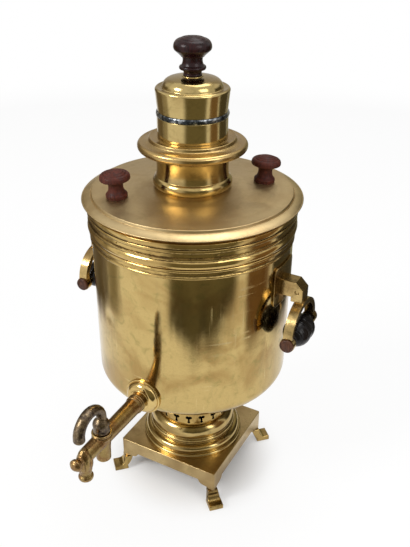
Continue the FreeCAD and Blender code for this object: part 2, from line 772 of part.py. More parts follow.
# Lid: the dished plate that drops into the mouth of the body, with a turned neck for the tube
lid_skirt_gap = size("lid_skirt_gap", 0.5)
lid_skirt_depth = size("lid_skirt_depth", 8.0)
lid_sheet = size("lid_sheet", 1.6)
lid_overhang = size("lid_overhang", 7.7)
lid_flare = size("lid_flare", 5.0)
lid_foot_lap = size("lid_foot_lap", 1.1)
lid_edge = size("lid_edge", 1.0)
disc_inset = size("disc_inset", 2.7)
disc_step = size("disc_step", 2.4)
rim_slope = size("rim_slope", 3.4)
disc_slope = size("disc_slope", 3.7)
lid_neck_gap = size("lid_neck_gap", 1.2)
neck_foot_lap = size("neck_foot_lap", 3.4)
neck_sheet = size("neck_sheet", 1.4)
neck_swell = size("neck_swell", 11.5)
neck_swell_bulge = size("neck_swell_bulge", 2.7)
neck_cove = size("neck_cove", 21.5)
neck_flare = size("neck_flare", 1.4)
near_knob_inset = size("near_knob_inset", 23.3)
near_knob_bearing = size("near_knob_bearing", 39.8)
far_knob_inset = size("far_knob_inset", 27.8)
far_knob_bearing = size("far_knob_bearing", 231.0)
stud_radius = size("stud_radius", 2.0)
stud_gap = size("stud_gap", 0.3)

sleeve_gap = size("sleeve_gap", 0.6)
sleeve_sheet = size("sleeve_sheet", 2.0)

lid_radius = place("lid_radius", body_radius + lid_overhang)
lid_foot_radius = place("lid_foot_radius", body_radius + lid_foot_lap)
disc_radius = place("disc_radius", body_radius - disc_inset)
near_knob_reach = place("near_knob_reach", disc_radius - near_knob_inset)
far_knob_reach = place("far_knob_reach", disc_radius - far_knob_inset)
sleeve_bore = place("sleeve_bore", tube_radius + sleeve_gap)
sleeve_radius = place("sleeve_radius", sleeve_bore + sleeve_sheet)
lid_bore = place("lid_bore", sleeve_radius + lid_neck_gap)
neck_foot_radius = place("neck_foot_radius", lid_bore + neck_foot_lap)
lid_top = place("lid_top", seat_level + lid_flare + lid_edge + rim_slope + disc_step)
neck_seat = place("neck_seat", lid_top + disc_slope)
neck_top = place("neck_top", neck_seat + neck_swell + neck_cove)
lid_fall = place("lid_fall", disc_slope / (disc_radius - neck_foot_radius))


def lid_knob_places():
    """The side, bearing from the tap, x and y of each knob on the lid, and the lid's level there."""
    made = []
    for side, reach, bearing in (("near", near_knob_reach, near_knob_bearing),
                                 ("far", far_knob_reach, far_knob_bearing)):
        x = -reach * sine(bearing)
        y = -reach * cosine(bearing)
        made.append((side, bearing, x, y, lid_top + lid_fall * (disc_radius - reach)))
    return made


def make_lid():
    body = new_body("lid_plate")
    skirt = mouth_radius - lid_skirt_gap
    inside = skirt - lid_sheet
    edge_level = seat_level + lid_flare
    edge_top = edge_level + lid_edge
    under = lid_top - lid_sheet
    outline = [
        (inside, seat_level - lid_skirt_depth), (skirt, seat_level - lid_skirt_depth),
        (skirt, seat_level), (lid_foot_radius, seat_level),
        (lid_radius - lid_edge, edge_level, -lid_flare / 6), (lid_radius, edge_level + lid_edge / 2, 0.3),
        (lid_radius - lid_edge, edge_top, 0.3), (disc_radius + 1.4, edge_top + rim_slope, 0.5),
        (disc_radius + 0.8, edge_top + rim_slope - 0.3), (disc_radius, lid_top - 0.7),
        (disc_radius - 0.9, lid_top, 0.3), (neck_foot_radius + 1.5, neck_seat),
        (lid_bore, neck_seat), (lid_bore, neck_seat - lid_sheet),
        (neck_foot_radius + 1.5, neck_seat - lid_sheet), (inside - 0.8, under), (inside, under - 1.6, -0.5)]
    turn(body, "plate", outline)
    for side, bearing, x, y, level in lid_knob_places():
        extrude(body, "hole_" + side, lambda s: circle(s, x, y, stud_radius + stud_gap), lid_top * 3,
                "XY_Plane", "PartDesign::Pocket")


def make_lid_neck():
    swell_top = neck_seat + neck_swell
    narrow = lid_bore + neck_sheet
    flare = narrow + neck_flare
    turned("lid_neck", [
        (lid_bore, neck_seat), (neck_foot_radius, neck_seat),
        (narrow + 0.6, swell_top, neck_swell_bulge), (flare, neck_top - 1.6, -neck_flare * 0.8),
        (flare, neck_top, 0.3), (lid_bore, neck_top)])


# Lid knobs: two turned wooden knobs, each held by a steel stud with a nut under the lid
knob_crest = size("knob_crest", 1.2)
lid_knob_foot = size("lid_knob_foot", 10.8)
lid_knob_waist = size("lid_knob_waist", 7.4)
lid_knob_head = size("lid_knob_head", 15.2)
lid_knob_base = size("lid_knob_base", 5.0)
lid_knob_waist_level = size("lid_knob_waist_level", 11.5)
lid_knob_brim = size("lid_knob_brim", 20.6)
lid_knob_top = size("lid_knob_top", 27.6)
stud_depth = size("stud_depth", 14.0)
stud_fit = size("stud_fit", 0.02)
stud_tail = size("stud_tail", 7.5)
nut_width = size("nut_width", 8.0)
nut_height = size("nut_height", 3.2)
nut_seat = size("nut_seat", 0.02)


def hexagon(across):
    """Corners of a hexagon, across its flats, counter-clockwise."""
    corner = across / math.sqrt(3)
    return [(corner * math.cos(math.radians(60 * k)), corner * math.sin(math.radians(60 * k)))
            for k in range(6)]


def make_knob(name, outline):
    """A turned wooden knob with a blind hole for its stud, drawn on its own axis."""
    body = new_body(name)
    turn(body, "turning", outline)
    hole = [(0, -1), (stud_radius + stud_fit, -1), (stud_radius + stud_fit, stud_depth), (0, stud_depth)]
    turn(body, "stud_hole", hole, "PartDesign::Groove")
    return body


def make_stud(name):
    """A stud from the knob's blind hole down through the sheet and the nut."""
    body = new_body(name)
    extrude(body, "rod", lambda s: circle(s, 0, 0, stud_radius), stud_depth + stud_tail, "XY_Plane",
            both=False, offset=-stud_tail)
    return body


def make_nut(name, sheet_under):
    """A nut that bears on the underside of a sheet of that thickness."""
    body = new_body(name)
    extrude(body, "hexagon", lambda s: closed_outline(s, hexagon(nut_width)), nut_height, "XY_Plane",
            both=False, offset=-nut_height - sheet_under)
    extrude(body, "thread", lambda s: circle(s, 0, 0, stud_radius + stud_fit), nut_height * 6, "XY_Plane",
            "PartDesign::Pocket")
    return body


def make_lid_knobs():
    tilt = math.degrees(math.atan(number(lid_fall)))
    head = lid_knob_head
    outline = [
        (0, 0), (lid_knob_foot, 0), (lid_knob_foot, 0.8), (lid_knob_foot - 1.2, lid_knob_base, 0.9),
        (lid_knob_waist, lid_knob_waist_level, -0.7), (head - 1.6, lid_knob_brim - 2.4, -2.2),
        (head, lid_knob_brim, 0.7), (head - 3.4, lid_knob_brim + 4.4, 1.2),
        (head - 3.9, lid_knob_brim + 4.2), (head - 6.2, lid_knob_top - 1.3),
        (head - 8.6, lid_knob_top - 0.5), (head - 9.0, lid_knob_top - 0.9),
        (head - 9.6, lid_knob_top - 0.6), (knob_crest, lid_knob_top), (0, lid_knob_top)]
    for side, bearing, x, y, level in lid_knob_places():
        lean = FreeCAD.Rotation(FreeCAD.Vector(0, 1, 0), tilt)
        turned_by = about_z(-90 - number(bearing)) * lean
        put(make_knob("lid_knob_" + side, outline), x, y, level, turned_by)
        put(make_stud("lid_knob_stud_" + side), x, y, level, turned_by)
        put(make_nut("lid_knob_nut_" + side, lid_sheet + nut_seat), x, y, level, turned_by)


# Crown: the turned flange that carries the teapot, brazed to a collar that slips over the tube
crown_spread = size("crown_spread", 11.7)
crown_foot_lap = size("crown_foot_lap", 6.4)
crown_edge_level = size("crown_edge_level", 9.4)
crown_edge_round = size("crown_edge_round", 4.2)
crown_height = size("crown_height", 18.2)
crown_step_width = size("crown_step_width", 8.4)
crown_step_drop = size("crown_step_drop", 3.2)
collar_lap = size("collar_lap", 1.2)
collar_above = size("collar_above", 20.8)
collar_sheet = size("collar_sheet", 1.0)
sleeve_depth = size("sleeve_depth", 17.0)

crown_foot = place("crown_foot", sleeve_radius + crown_foot_lap)
collar_radius = place("collar_radius", sleeve_radius + collar_lap)
crown_step_radius = place("crown_step_radius", collar_radius + crown_step_width)
crown_radius = place("crown_radius", crown_step_radius + crown_spread)
crown_top = place("crown_top", neck_top + crown_height)
collar_top = place("collar_top", crown_top + collar_above)
collar_bore = place("collar_bore", collar_radius - collar_sheet)


def make_crown():
    edge = neck_top + crown_edge_level
    step = crown_top - crown_step_drop
    turned("crown_flange", [
        (sleeve_radius, neck_top), (crown_foot, neck_top),
        (crown_foot + 0.6, neck_top + 1.4, 0.2), (crown_radius - 3.0, edge - crown_edge_round, -2.0),
        (crown_radius, edge, 0.9), (crown_radius - 3.0, edge + crown_edge_round, 1.0),
        (crown_step_radius + 0.4, step, -0.6), (crown_step_radius, crown_top - 1.0),
        (crown_step_radius - 1.4, crown_top, 0.5), (collar_radius + 0.8, crown_top, -0.3),
        (sleeve_radius, crown_top)])
    turned("crown_collar", [
        (sleeve_bore, neck_top - sleeve_depth), (sleeve_radius, neck_top - sleeve_depth),
        (sleeve_radius, crown_top), (collar_radius, crown_top), (collar_radius, collar_top),
        (collar_bore, collar_top), (collar_bore, crown_top + 2.2), (sleeve_bore, crown_top + 1.0)])


# Cap: the spun cap that snuffs the fire, on a tinned steel sleeve that plugs into the collar
sleeve_clearance = size("sleeve_clearance", 0.3)
liner_sheet = size("liner_sheet", 1.0)
liner_depth = size("liner_depth", 15.0)
liner_bead_proud = size("liner_bead_proud", 1.1)
liner_bead_height = size("liner_bead_height", 5.0)
liner_above = size("liner_above", 8.0)
cap_foot_inset = size("cap_foot_inset", 0.7)
cap_sheet = size("cap_sheet", 1.2)
cap_lean = size("cap_lean", 1.9)
cap_shoulder_height = size("cap_shoulder_height", 20.7)
cap_dome_inset = size("cap_dome_inset", 6.8)
cap_dome_height = size("cap_dome_height", 10.7)
cap_step = size("cap_step", 1.8)
cap_crest_inset = size("cap_crest_inset", 8.6)
cap_boss_radius = size("cap_boss_radius", 10.5)

liner_bead_radius = place("liner_bead_radius", collar_radius + liner_bead_proud)
cap_foot_radius = place("cap_foot_radius", collar_radius - cap_foot_inset)
cap_shoulder_radius = place("cap_shoulder_radius", cap_foot_radius + cap_lean)
cap_dome_radius = place("cap_dome_radius", cap_shoulder_radius - cap_dome_inset)
cap_crest_radius = place("cap_crest_radius", cap_dome_radius - cap_crest_inset)
cap_seat = place("cap_seat", collar_top + liner_bead_height)
cap_shoulder = place("cap_shoulder", cap_seat + cap_shoulder_height)
cap_valley = place("cap_valley", cap_shoulder + cap_step)
cap_crest = place("cap_crest", cap_valley + cap_dome_height)
cap_bore = place("cap_bore", cap_foot_radius - cap_sheet)


def make_cap():
    slip = collar_bore - sleeve_clearance
    turned("cap_liner", [
        (slip - liner_sheet, collar_top - liner_depth), (slip, collar_top - liner_depth),
        (slip, collar_top), (liner_bead_radius - 0.7, collar_top),
        (liner_bead_radius - 0.7, cap_seat, 0.7), (cap_bore, cap_seat),
        (cap_bore, cap_seat + liner_above), (slip - liner_sheet, cap_seat + liner_above)])
    lean = (cap_shoulder_radius - cap_foot_radius) * liner_above / cap_shoulder_height
    turned("cap_shell", [
        (cap_bore, cap_seat), (cap_foot_radius, cap_seat),
        (cap_shoulder_radius, cap_shoulder - 1.2), (cap_shoulder_radius - 2.2, cap_shoulder + 1.9, 0.9),
        (cap_dome_radius + 0.6, cap_valley - 0.6, -0.2), (cap_dome_radius, cap_valley),
        (cap_crest_radius, cap_crest - 2.2, 2.3), (cap_boss_radius, cap_crest - 0.7, 0.3),
        (cap_boss_radius - 0.5, cap_crest, 0.2),
        (stud_radius + stud_gap, cap_crest), (stud_radius + stud_gap, cap_crest - cap_sheet * 1.5),
        (nut_width * 0.75, cap_crest - cap_sheet * 1.5),
        (cap_boss_radius - 0.5, cap_crest - cap_sheet * 1.9),
        (cap_crest_radius - 1, cap_crest - 2.4 - cap_sheet),
        (cap_dome_radius - cap_sheet, cap_valley - cap_sheet, -2.0),
        (cap_shoulder_radius - 1.4 - cap_sheet, cap_shoulder - 1.6),
        (cap_bore + lean, cap_seat + liner_above), (cap_bore, cap_seat + liner_above)])


# Cap knob: the large turned mahogany knob, drawn on its own axis from its foot
knob_foot = size("knob_foot", 8.7)
knob_bead = size("knob_bead", 12.9)
knob_bead_level = size("knob_bead_level", 7.6)
knob_neck = size("knob_neck", 9.5)
knob_neck_level = size("knob_neck_level", 14.0)
knob_head = size("knob_head", 18.1)
knob_brim = size("knob_brim", 27.0)
knob_top = size("knob_top", 36.0)


def make_cap_knob():
    head = knob_head
    outline = [
        (0, 0), (knob_foot, 0), (knob_foot, 1.6, 0.4), (knob_foot + 0.9, knob_bead_level - 2.6, -0.4),
        (knob_bead - 0.5, knob_bead_level - 1.9), (knob_bead - 0.5, knob_bead_level + 1.3, 0.6),
        (knob_neck + 1.2, knob_bead_level + 2.2, -0.3), (knob_neck + 0.6, knob_neck_level + 3.4, -0.9),
        (knob_neck + 2.2, knob_neck_level + 4.4, 0.4), (head - 2.0, knob_brim - 4.6),
        (head, knob_brim, 0.8), (head - 4.8, knob_brim + 6.4, 1.2), (head - 5.3, knob_brim + 6.0),
        (head - 9.2, knob_top - 1.3, 0.5), (head - 9.7, knob_top - 1.7), (head - 11.6, knob_top - 0.8),
        (head - 13.6, knob_top - 0.3), (head - 14.0, knob_top - 0.6), (head - 14.6, knob_top - 0.3),
        (knob_crest, knob_top), (0, knob_top)]
    put(make_knob("cap_knob", outline), 0, 0, cap_crest)
    put(make_stud("cap_knob_stud"), 0, 0, cap_crest)
    put(make_nut("cap_knob_nut", cap_sheet * 1.5), 0, 0, cap_crest)


# Handles: on each side a plate on the body, an elbow block, a bow with two eyes and a turned grip
handle_drop = size("handle_drop", 68.0)
plate_width_angle = size("plate_width_angle", 23.4)
plate_height = size("plate_height", 44.0)
plate_sheet = size("plate_sheet", 2.0)
elbow_width = size("elbow_width", 16.0)
elbow_overhang = size("elbow_overhang", 24.7)
elbow_rise = size("elbow_rise", 5.6)
elbow_chamfer = size("elbow_chamfer", 8.2)
elbow_arm = size("elbow_arm", 17.5)
elbow_leg = size("elbow_leg", 12.6)
bow_overhang = size("bow_overhang", 21.2)
bow_width = size("bow_width", 10.0)
bow_outer = size("bow_outer", 33.0)
bow_sheet = size("bow_sheet", 6.0)
bow_drop = size("bow_drop", 49.0)
bow_leg = size("bow_leg", 4.5)
eye_radius = size("eye_radius", 7.8)
rod_radius = size("rod_radius", 2.4)
grip_gap = size("grip_gap", 0.08)
grip_end_gap = size("grip_end_gap", 0.4)
grip_radius = size("grip_radius", 14.4)
grip_bead = size("grip_bead", 6.6)
grip_neck = size("grip_neck", 5.2)
button_cap_radius = size("button_cap_radius", 7.3)
button_cap_height = size("button_cap_height", 3.4)

elbow_reach = place("elbow_reach", body_radius + elbow_overhang)
bow_reach = place("bow_reach", body_radius + bow_overhang)
handle_level = place("handle_level", body_top - handle_drop)
bow_level = place("bow_level", handle_level - bow_drop)
grip_level = place("grip_level", bow_level - bow_leg)
bow_inner = place("bow_inner", bow_outer - bow_sheet)
grip_length = place("grip_length", (bow_inner - grip_end_gap) * 2)


def make_handle(side, turned_by):
    plate = new_body("handle_plate_" + side)
    low = handle_level - plate_height / 2
    high = handle_level + plate_height / 2
    back = body_radius + plate_sheet
    turn(plate, "sheet", [(body_radius, low), (back, low), (back, high), (body_radius, high)],
         angle=plate_width_angle)
    put(plate, 0, 0, 0, turned_by * about_z(-number(plate_width_angle) / 2))

    elbow = new_body("handle_elbow_" + side)
    top = handle_level + elbow_rise
    under = top - elbow_arm
    foot = bow_level + bow_outer * 0.9
    block = [(heel_axis, under), (elbow_reach - elbow_leg, under), (elbow_reach - elbow_leg, foot),
             (elbow_reach, foot), (elbow_reach, top - elbow_chamfer),
             (elbow_reach - elbow_chamfer, top), (heel_axis, top)]
    extrude(elbow, "block", lambda s: closed_outline(s, block), elbow_width, "XZ_Plane")
    core = [(0, low - 9), (back, low - 9), (back, high + 9), (0, high + 9)]
    turn(elbow, "back", core, "PartDesign::Groove")
    extrude(elbow, "saddle", lambda s: circle(s, 0, bow_level, bow_outer), bow_reach * 3, "YZ_Plane",
            "PartDesign::Pocket")
    put(elbow, 0, 0, 0, turned_by)

    bow = new_body("handle_bow_" + side)
    arch = [(-bow_outer, -bow_leg), (-bow_inner, -bow_leg), (-bow_inner, 0),
            (bow_inner, 0, -bow_inner), (bow_inner, -bow_leg), (bow_outer, -bow_leg), (bow_outer, 0),
            (-bow_outer, 0, bow_outer)]
    extrude(bow, "arch", lambda s: closed_outline(s, arch), bow_width, "YZ_Plane")
    extrude(bow, "eye", lambda s: circle(s, 0, -bow_leg, eye_radius), bow_sheet, "XZ_Plane", both=False,
            offset=bow_inner)
    mirrored = bow.newObject("PartDesign::Mirrored", bow.Name + "_eyes")
    mirrored.Originals = [bow.Tip]
    mirrored.MirrorPlane = (origin_plane(bow, "XZ_Plane"), [""])
    bow.Tip = mirrored
    doc.recompute()
    extrude(bow, "rod_way", lambda s: circle(s, 0, -bow_leg, rod_radius), bow_outer * 3, "XZ_Plane",
            "PartDesign::Pocket")
    centre = turned_by.multVec(FreeCAD.Vector(1, 0, 0)).x
    put(bow, bow_reach * round(centre), 0, bow_level, turned_by)

    lying = turned_by * FreeCAD.Rotation(FreeCAD.Vector(1, 0, 0), 90)
    reach = bow_reach * round(centre)
    rod = new_body("grip_rod_" + side)
    extrude(rod, "bar", lambda s: circle(s, 0, 0, rod_radius), bow_outer * 2 + button_cap_height * 1.2,
            "XY_Plane")
    put(rod, reach, 0, grip_level, lying)

    grip = new_body("grip_" + side)
    end = grip_length / 2
    bead = grip_bead
    profile = [(rod_radius + grip_gap, -end), (bead - 0.8, -end), (bead - 0.8, 4.4 - end, 0.9),
               (grip_neck, 5.4 - end, -0.3), (grip_neck + 1.8, 7.0 - end, -0.2),
               (grip_radius, -0.9, 3.2), (grip_radius - 0.5, -0.5), (grip_radius - 0.5, 0.5),
               (grip_radius, 0.9), (grip_neck + 1.8, end - 7.0, 3.2), (grip_neck, end - 5.4, -0.2),
               (bead - 0.8, end - 4.4, -0.3), (bead - 0.8, end, 0.9), (rod_radius + grip_gap, end)]
    turn(grip, "turning", profile)
    put(grip, reach, 0, grip_level, lying)

    for mark, flip in (("near", 0), ("far", 180)):
        button = new_body("grip_button_%s_%s" % (mark, side))
        cap = [(0, 0), (button_cap_radius, 0), (button_cap_radius, button_cap_height * 0.55),
               (button_cap_radius - 1.8, button_cap_height - 0.3, 0.5),
               (button_cap_radius - 2.2, button_cap_height - 0.6),
               (button_cap_radius - 3.6, button_cap_height - 0.2), (knob_crest, button_cap_height),
               (0, button_cap_height)]
        turn(button, "turning", cap)
        hole = [(0, -1), (rod_radius, -1), (rod_radius, button_cap_height * 0.6),
                (0, button_cap_height * 0.6)]
        turn(button, "rod_hole", hole, "PartDesign::Groove")
        facing = turned_by * FreeCAD.Rotation(FreeCAD.Vector(1, 0, 0), 90 + flip)
        outward = facing.multVec(FreeCAD.Vector(0, 0, 1)).y
        put(button, reach, bow_outer * round(outward), grip_level, facing)


def check_and_write():
    """Stops on any failed object or broken shape, then writes one file for each piece."""
    doc.recompute()
    for item in doc.Objects:
        if "Invalid" in item.State or "Error" in item.State:
            raise RuntimeError("failed object: " + item.Name)
    os.makedirs("parts", exist_ok=True)
    for piece in pieces:
        if piece.Shape.isNull() or not piece.Shape.isValid():
            raise RuntimeError("bad shape: " + piece.Label)
        if piece.TypeId == "PartDesign::Body" and len(piece.Shape.Solids) != 1:
            raise RuntimeError("not one solid: " + piece.Label)
    for piece in pieces:
        piece.Shape.exportStep("parts/%s.step" % piece.Label)


doc.recompute()
make_plinth()
for foot_name, foot_angle in foot_angles.items():
    make_foot("foot_" + foot_name, foot_angle)
make_pedestal()
make_air_neck()
make_body()
make_bands()
make_rivets()
make_fire_tube()
make_grate()
make_rose()
make_tap_body()
make_key()
make_lid()
make_lid_neck()
make_lid_knobs()
make_crown()
make_cap()
make_cap_knob()
make_handle("right", about_z(0))
make_handle("left", about_z(180))
check_and_write()
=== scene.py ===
import bmesh
import bpy
import math
from mathutils import Matrix, Vector, noise


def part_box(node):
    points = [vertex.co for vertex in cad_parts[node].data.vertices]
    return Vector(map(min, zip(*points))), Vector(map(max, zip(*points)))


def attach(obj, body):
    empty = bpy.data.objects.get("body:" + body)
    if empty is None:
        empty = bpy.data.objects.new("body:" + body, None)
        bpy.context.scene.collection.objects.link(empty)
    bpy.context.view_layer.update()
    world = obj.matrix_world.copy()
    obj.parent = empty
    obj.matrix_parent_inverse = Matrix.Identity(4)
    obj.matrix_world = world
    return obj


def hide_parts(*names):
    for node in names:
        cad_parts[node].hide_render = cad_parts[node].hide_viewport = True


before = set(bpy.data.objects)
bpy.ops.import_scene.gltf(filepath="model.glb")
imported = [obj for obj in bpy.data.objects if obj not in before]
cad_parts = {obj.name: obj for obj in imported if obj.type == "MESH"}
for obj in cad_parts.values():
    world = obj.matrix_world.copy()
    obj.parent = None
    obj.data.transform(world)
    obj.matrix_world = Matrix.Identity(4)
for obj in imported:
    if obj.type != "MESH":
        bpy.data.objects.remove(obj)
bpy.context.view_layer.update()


# ---- Plinth ----
# A square brass tray, cast in sand with its apron, whose ends drop as stepped brackets over the
# feet. The top is filed flat and satin.
MM = 0.001
plinth_low, plinth_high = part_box("plinth")
plinth_side = plinth_high.x - plinth_low.x
plinth_top = plinth_high.z
plinth_under = plinth_low.z
apron_wall = 3.2 * MM
tray_sheet = 3.0 * MM
bracket_drop = 9.0 * MM
bracket_heel = 6.0 * MM
bracket_length = 20.0 * MM
bracket_step = 3.4 * MM
air_way = 39.6 * MM
cast_edge = 0.9 * MM


def link(name, shape):
    """Makes a piece with that name from a bmesh, with all of its faces smooth."""
    mesh = bpy.data.meshes.new(name)
    bmesh.ops.recalc_face_normals(shape, faces=shape.faces)
    shape.to_mesh(mesh)
    shape.free()
    mesh.polygons.foreach_set("use_smooth", [True] * len(mesh.polygons))
    piece = bpy.data.objects.new(name, mesh)
    bpy.context.scene.collection.objects.link(piece)
    return piece


def soften(piece, width, steps=2, angle=32):
    """Rounds every edge that is sharper than the angle, as tumbling and wear do."""
    rounding = piece.modifiers.new("soft_edges", "BEVEL")
    rounding.width = width
    rounding.segments = steps
    rounding.limit_method = "ANGLE"
    rounding.angle_limit = math.radians(angle)
    rounding.harden_normals = True
    return piece


def settle(piece):
    """Bakes the modifiers of a piece into its mesh."""
    ready = piece.evaluated_get(bpy.context.evaluated_depsgraph_get())
    mesh = bpy.data.meshes.new_from_object(ready)
    piece.modifiers.clear()
    piece.data = mesh
    return piece


def carve(piece, cutter, how="DIFFERENCE"):
    """Cuts the second piece out of the first, or joins it on, and removes the second."""
    cut = piece.modifiers.new("carve", "BOOLEAN")
    cut.operation = how
    cut.solver = "EXACT"
    cut.object = cutter
    settle(piece)
    bpy.data.objects.remove(cutter)
    piece.data.polygons.foreach_set("use_smooth", [True] * len(piece.data.polygons))
    return piece


def bar(name, corners, half_width):
    """A prism: corners are (along, up) points of its side view, and half_width is a length or a
    rule that gives the half width at a height. It is drawn along +X, with its width along Y."""
    shape = bmesh.new()
    width_at = half_width if callable(half_width) else (lambda up: half_width)
    sides = [[shape.verts.new((along, side * width_at(up), up)) for along, up in corners]
             for side in (-1, 1)]
    for side in sides:
        shape.faces.new(side)
    for k in range(len(corners)):
        after = (k + 1) % len(corners)
        shape.faces.new((sides[0][k], sides[0][after], sides[1][after], sides[1][k]))
    return link(name, shape)


def block(name, low, high):
    """A plain box between two corners, used for cutting."""
    side = [(low[0], low[2]), (high[0], low[2]), (high[0], high[2]), (low[0], high[2])]
    piece = bar(name, side, (high[1] - low[1]) / 2)
    piece.data.transform(Matrix.Translation((0, (low[1] + high[1]) / 2, 0)))
    return piece


def disc(name, radius, low, high, sides=96):
    """A plain round block, used for cutting."""
    shape = bmesh.new()
    bmesh.ops.create_cone(shape, cap_ends=True, segments=sides, radius1=radius, radius2=radius,
                          depth=high - low, matrix=Matrix.Translation((0, 0, (low + high) / 2)))
    return link(name, shape)


def plinth_shape():
    half = plinth_side / 2
    tray = block("plinth_tray", (-half, -half, plinth_under), (half, half, plinth_top))
    edges = bmesh.new()
    edges.from_mesh(tray.data)
    uprights = [e for e in edges.edges if abs(e.verts[0].co.z - e.verts[1].co.z) > 5 * MM]
    bmesh.ops.bevel(edges, geom=uprights, offset=2.2 * MM, segments=5, affect="EDGES", profile=0.5)
    edges.to_mesh(tray.data)
    edges.free()
    inside = half - apron_wall
    carve(tray, block("hollow", (-inside, -inside, plinth_under - MM),
                      (inside, inside, plinth_top - tray_sheet)))
    carve(tray, disc("air_way", air_way, plinth_under, plinth_top + MM))
    heel, tip = half - bracket_heel, half - bracket_length
    low, top = plinth_under - MM, plinth_under + bracket_drop
    knee = top - bracket_step
    arch = [(-heel, low), (heel, low), (heel, low + MM)]
    for k in range(1, 6):
        share = k / 6
        along = heel + (tip - heel) * share
        up = low + MM + (knee - low - MM) * (share + 0.13 * math.sin(2 * math.pi * share))
        arch.append((along, up))
    arch += [(tip, knee), (tip - 1.2 * MM, top)]
    arch += [(-along, up) for along, up in reversed(arch[2:])]
    for turn in (0, 90):
        cutter = bar("arch", arch, plinth_side)
        cutter.data.transform(Matrix.Rotation(math.radians(turn), 4, "Z"))
        carve(tray, cutter)
    return soften(tray, cast_edge, 3)


def add(tree, kind, plugs=(), **settings):
    """Adds a node with its settings, and gives its inputs a value or a link each."""
    made = tree.nodes.new(kind)
    for key, value in settings.items():
        setattr(made, key, value)
    for key, value in dict(plugs).items():
        if isinstance(value, bpy.types.NodeSocket):
            tree.links.new(value, made.inputs[key])
        else:
            made.inputs[key].default_value = value
    return made


def clouds(tree, where, scale, detail=4.0, roughness=0.55, distortion=0.0, stretch=None):
    """Cloudy noise from 0 to 1, whose patches are about 1/scale metres across."""
    if stretch:
        where = add(tree, "ShaderNodeMapping", {"Vector": where, "Scale": stretch}).outputs[0]
    plugs = {"Vector": where, "Scale": scale, "Detail": detail, "Roughness": roughness,
             "Distortion": distortion}
    return add(tree, "ShaderNodeTexNoise", plugs).outputs[0]


def band(tree, value, low, high, floor=0.0, top=1.0):
    """Smoothly maps a value between low and high to floor and top."""
    plugs = {"Value": value, "From Min": low, "From Max": high, "To Min": floor, "To Max": top}
    return add(tree, "ShaderNodeMapRange", plugs, interpolation_type="SMOOTHSTEP").outputs[0]


def times(tree, a, b, how="MULTIPLY"):
    """Multiplies two values, or joins them in another way."""
    return add(tree, "ShaderNodeMath", {0: a, 1: b}, operation=how).outputs[0]


def blend(tree, share, a, b, how="MIX"):
    """A share of colour b laid over colour a."""
    return add(tree, "ShaderNodeMix", {0: share, 6: a, 7: b}, data_type="RGBA", blend_type=how,
               clamp_factor=True).outputs[2]


def node_group(name, inputs, outputs):
    """An empty node group with named inputs and outputs, and its two ends."""
    tree = bpy.data.node_groups.new(name, "ShaderNodeTree")
    kinds = {"colour": "NodeSocketColor", "value": "NodeSocketFloat", "vector": "NodeSocketVector"}
    for label, kind in inputs.items():
        tree.interface.new_socket(label, in_out="INPUT", socket_type=kinds[kind])
    for label, kind in outputs.items():
        tree.interface.new_socket(label, in_out="OUTPUT", socket_type=kinds[kind])
    return tree, tree.nodes.new("NodeGroupInput").outputs, tree.nodes.new("NodeGroupOutput").inputs


def join_outputs(tree, ends, **sockets):
    for label, socket in sockets.items():
        tree.links.new(socket, ends[label])


def brass_ageing():
    """Old brass: yellow where it is rubbed, brown and olive where it is not, with dark pits."""
    tree, given, ends = node_group(
        "brass_ageing",
        {"Where": "vector", "Rubbed": "colour", "Aged": "colour", "Olive": "colour", "Age": "value",
         "Satin": "value"},
        {"Colour": "colour", "Roughness": "value", "Height": "value"})
    where, age = given["Where"], given["Age"]
    broad = clouds(tree, where, 22, 3, 0.5, 0.6)
    patches = clouds(tree, where, 95, 6, 0.62, 0.8)
    fine = clouds(tree, where, 520, 4, 0.6)
    pits = clouds(tree, where, 1500, 2, 0.5)
    rubbing = clouds(tree, where, 60, 5, 0.7, 0.3, (1.0, 1.0, 0.16))
    stain = times(tree, band(tree, broad, 0.42, 0.68), age)
    tone = blend(tree, stain, given["Rubbed"], given["Aged"])
    olive = times(tree, band(tree, patches, 0.50, 0.72), times(tree, age, 0.75))
    tone = blend(tree, olive, tone, given["Olive"])
    tone = blend(tree, times(tree, band(tree, rubbing, 0.45, 0.75), 0.28), tone, given["Rubbed"])
    tone = blend(tree, times(tree, band(tree, fine, 0.35, 0.8), 0.22), tone, given["Aged"])
    pit = times(tree, band(tree, pits, 0.70, 0.78), times(tree, age, 0.6))
    tone = blend(tree, pit, tone, (0.05, 0.03, 0.012, 1))
    gloss = times(tree, times(tree, patches, 0.16), times(tree, fine, 0.07), "ADD")
    gloss = times(tree, gloss, times(tree, stain, 0.08), "ADD")
    gloss = times(tree, times(tree, gloss, 0.14, "SUBTRACT"), given["Satin"], "ADD")
    height = times(tree, times(tree, fine, 0.35), times(tree, broad, 3.2), "ADD")
    height = times(tree, height, times(tree, pit, 0.5), "SUBTRACT")
    join_outputs(tree, ends, Colour=tone, Roughness=gloss, Height=height)
    return tree


brass_ageing_group = brass_ageing()


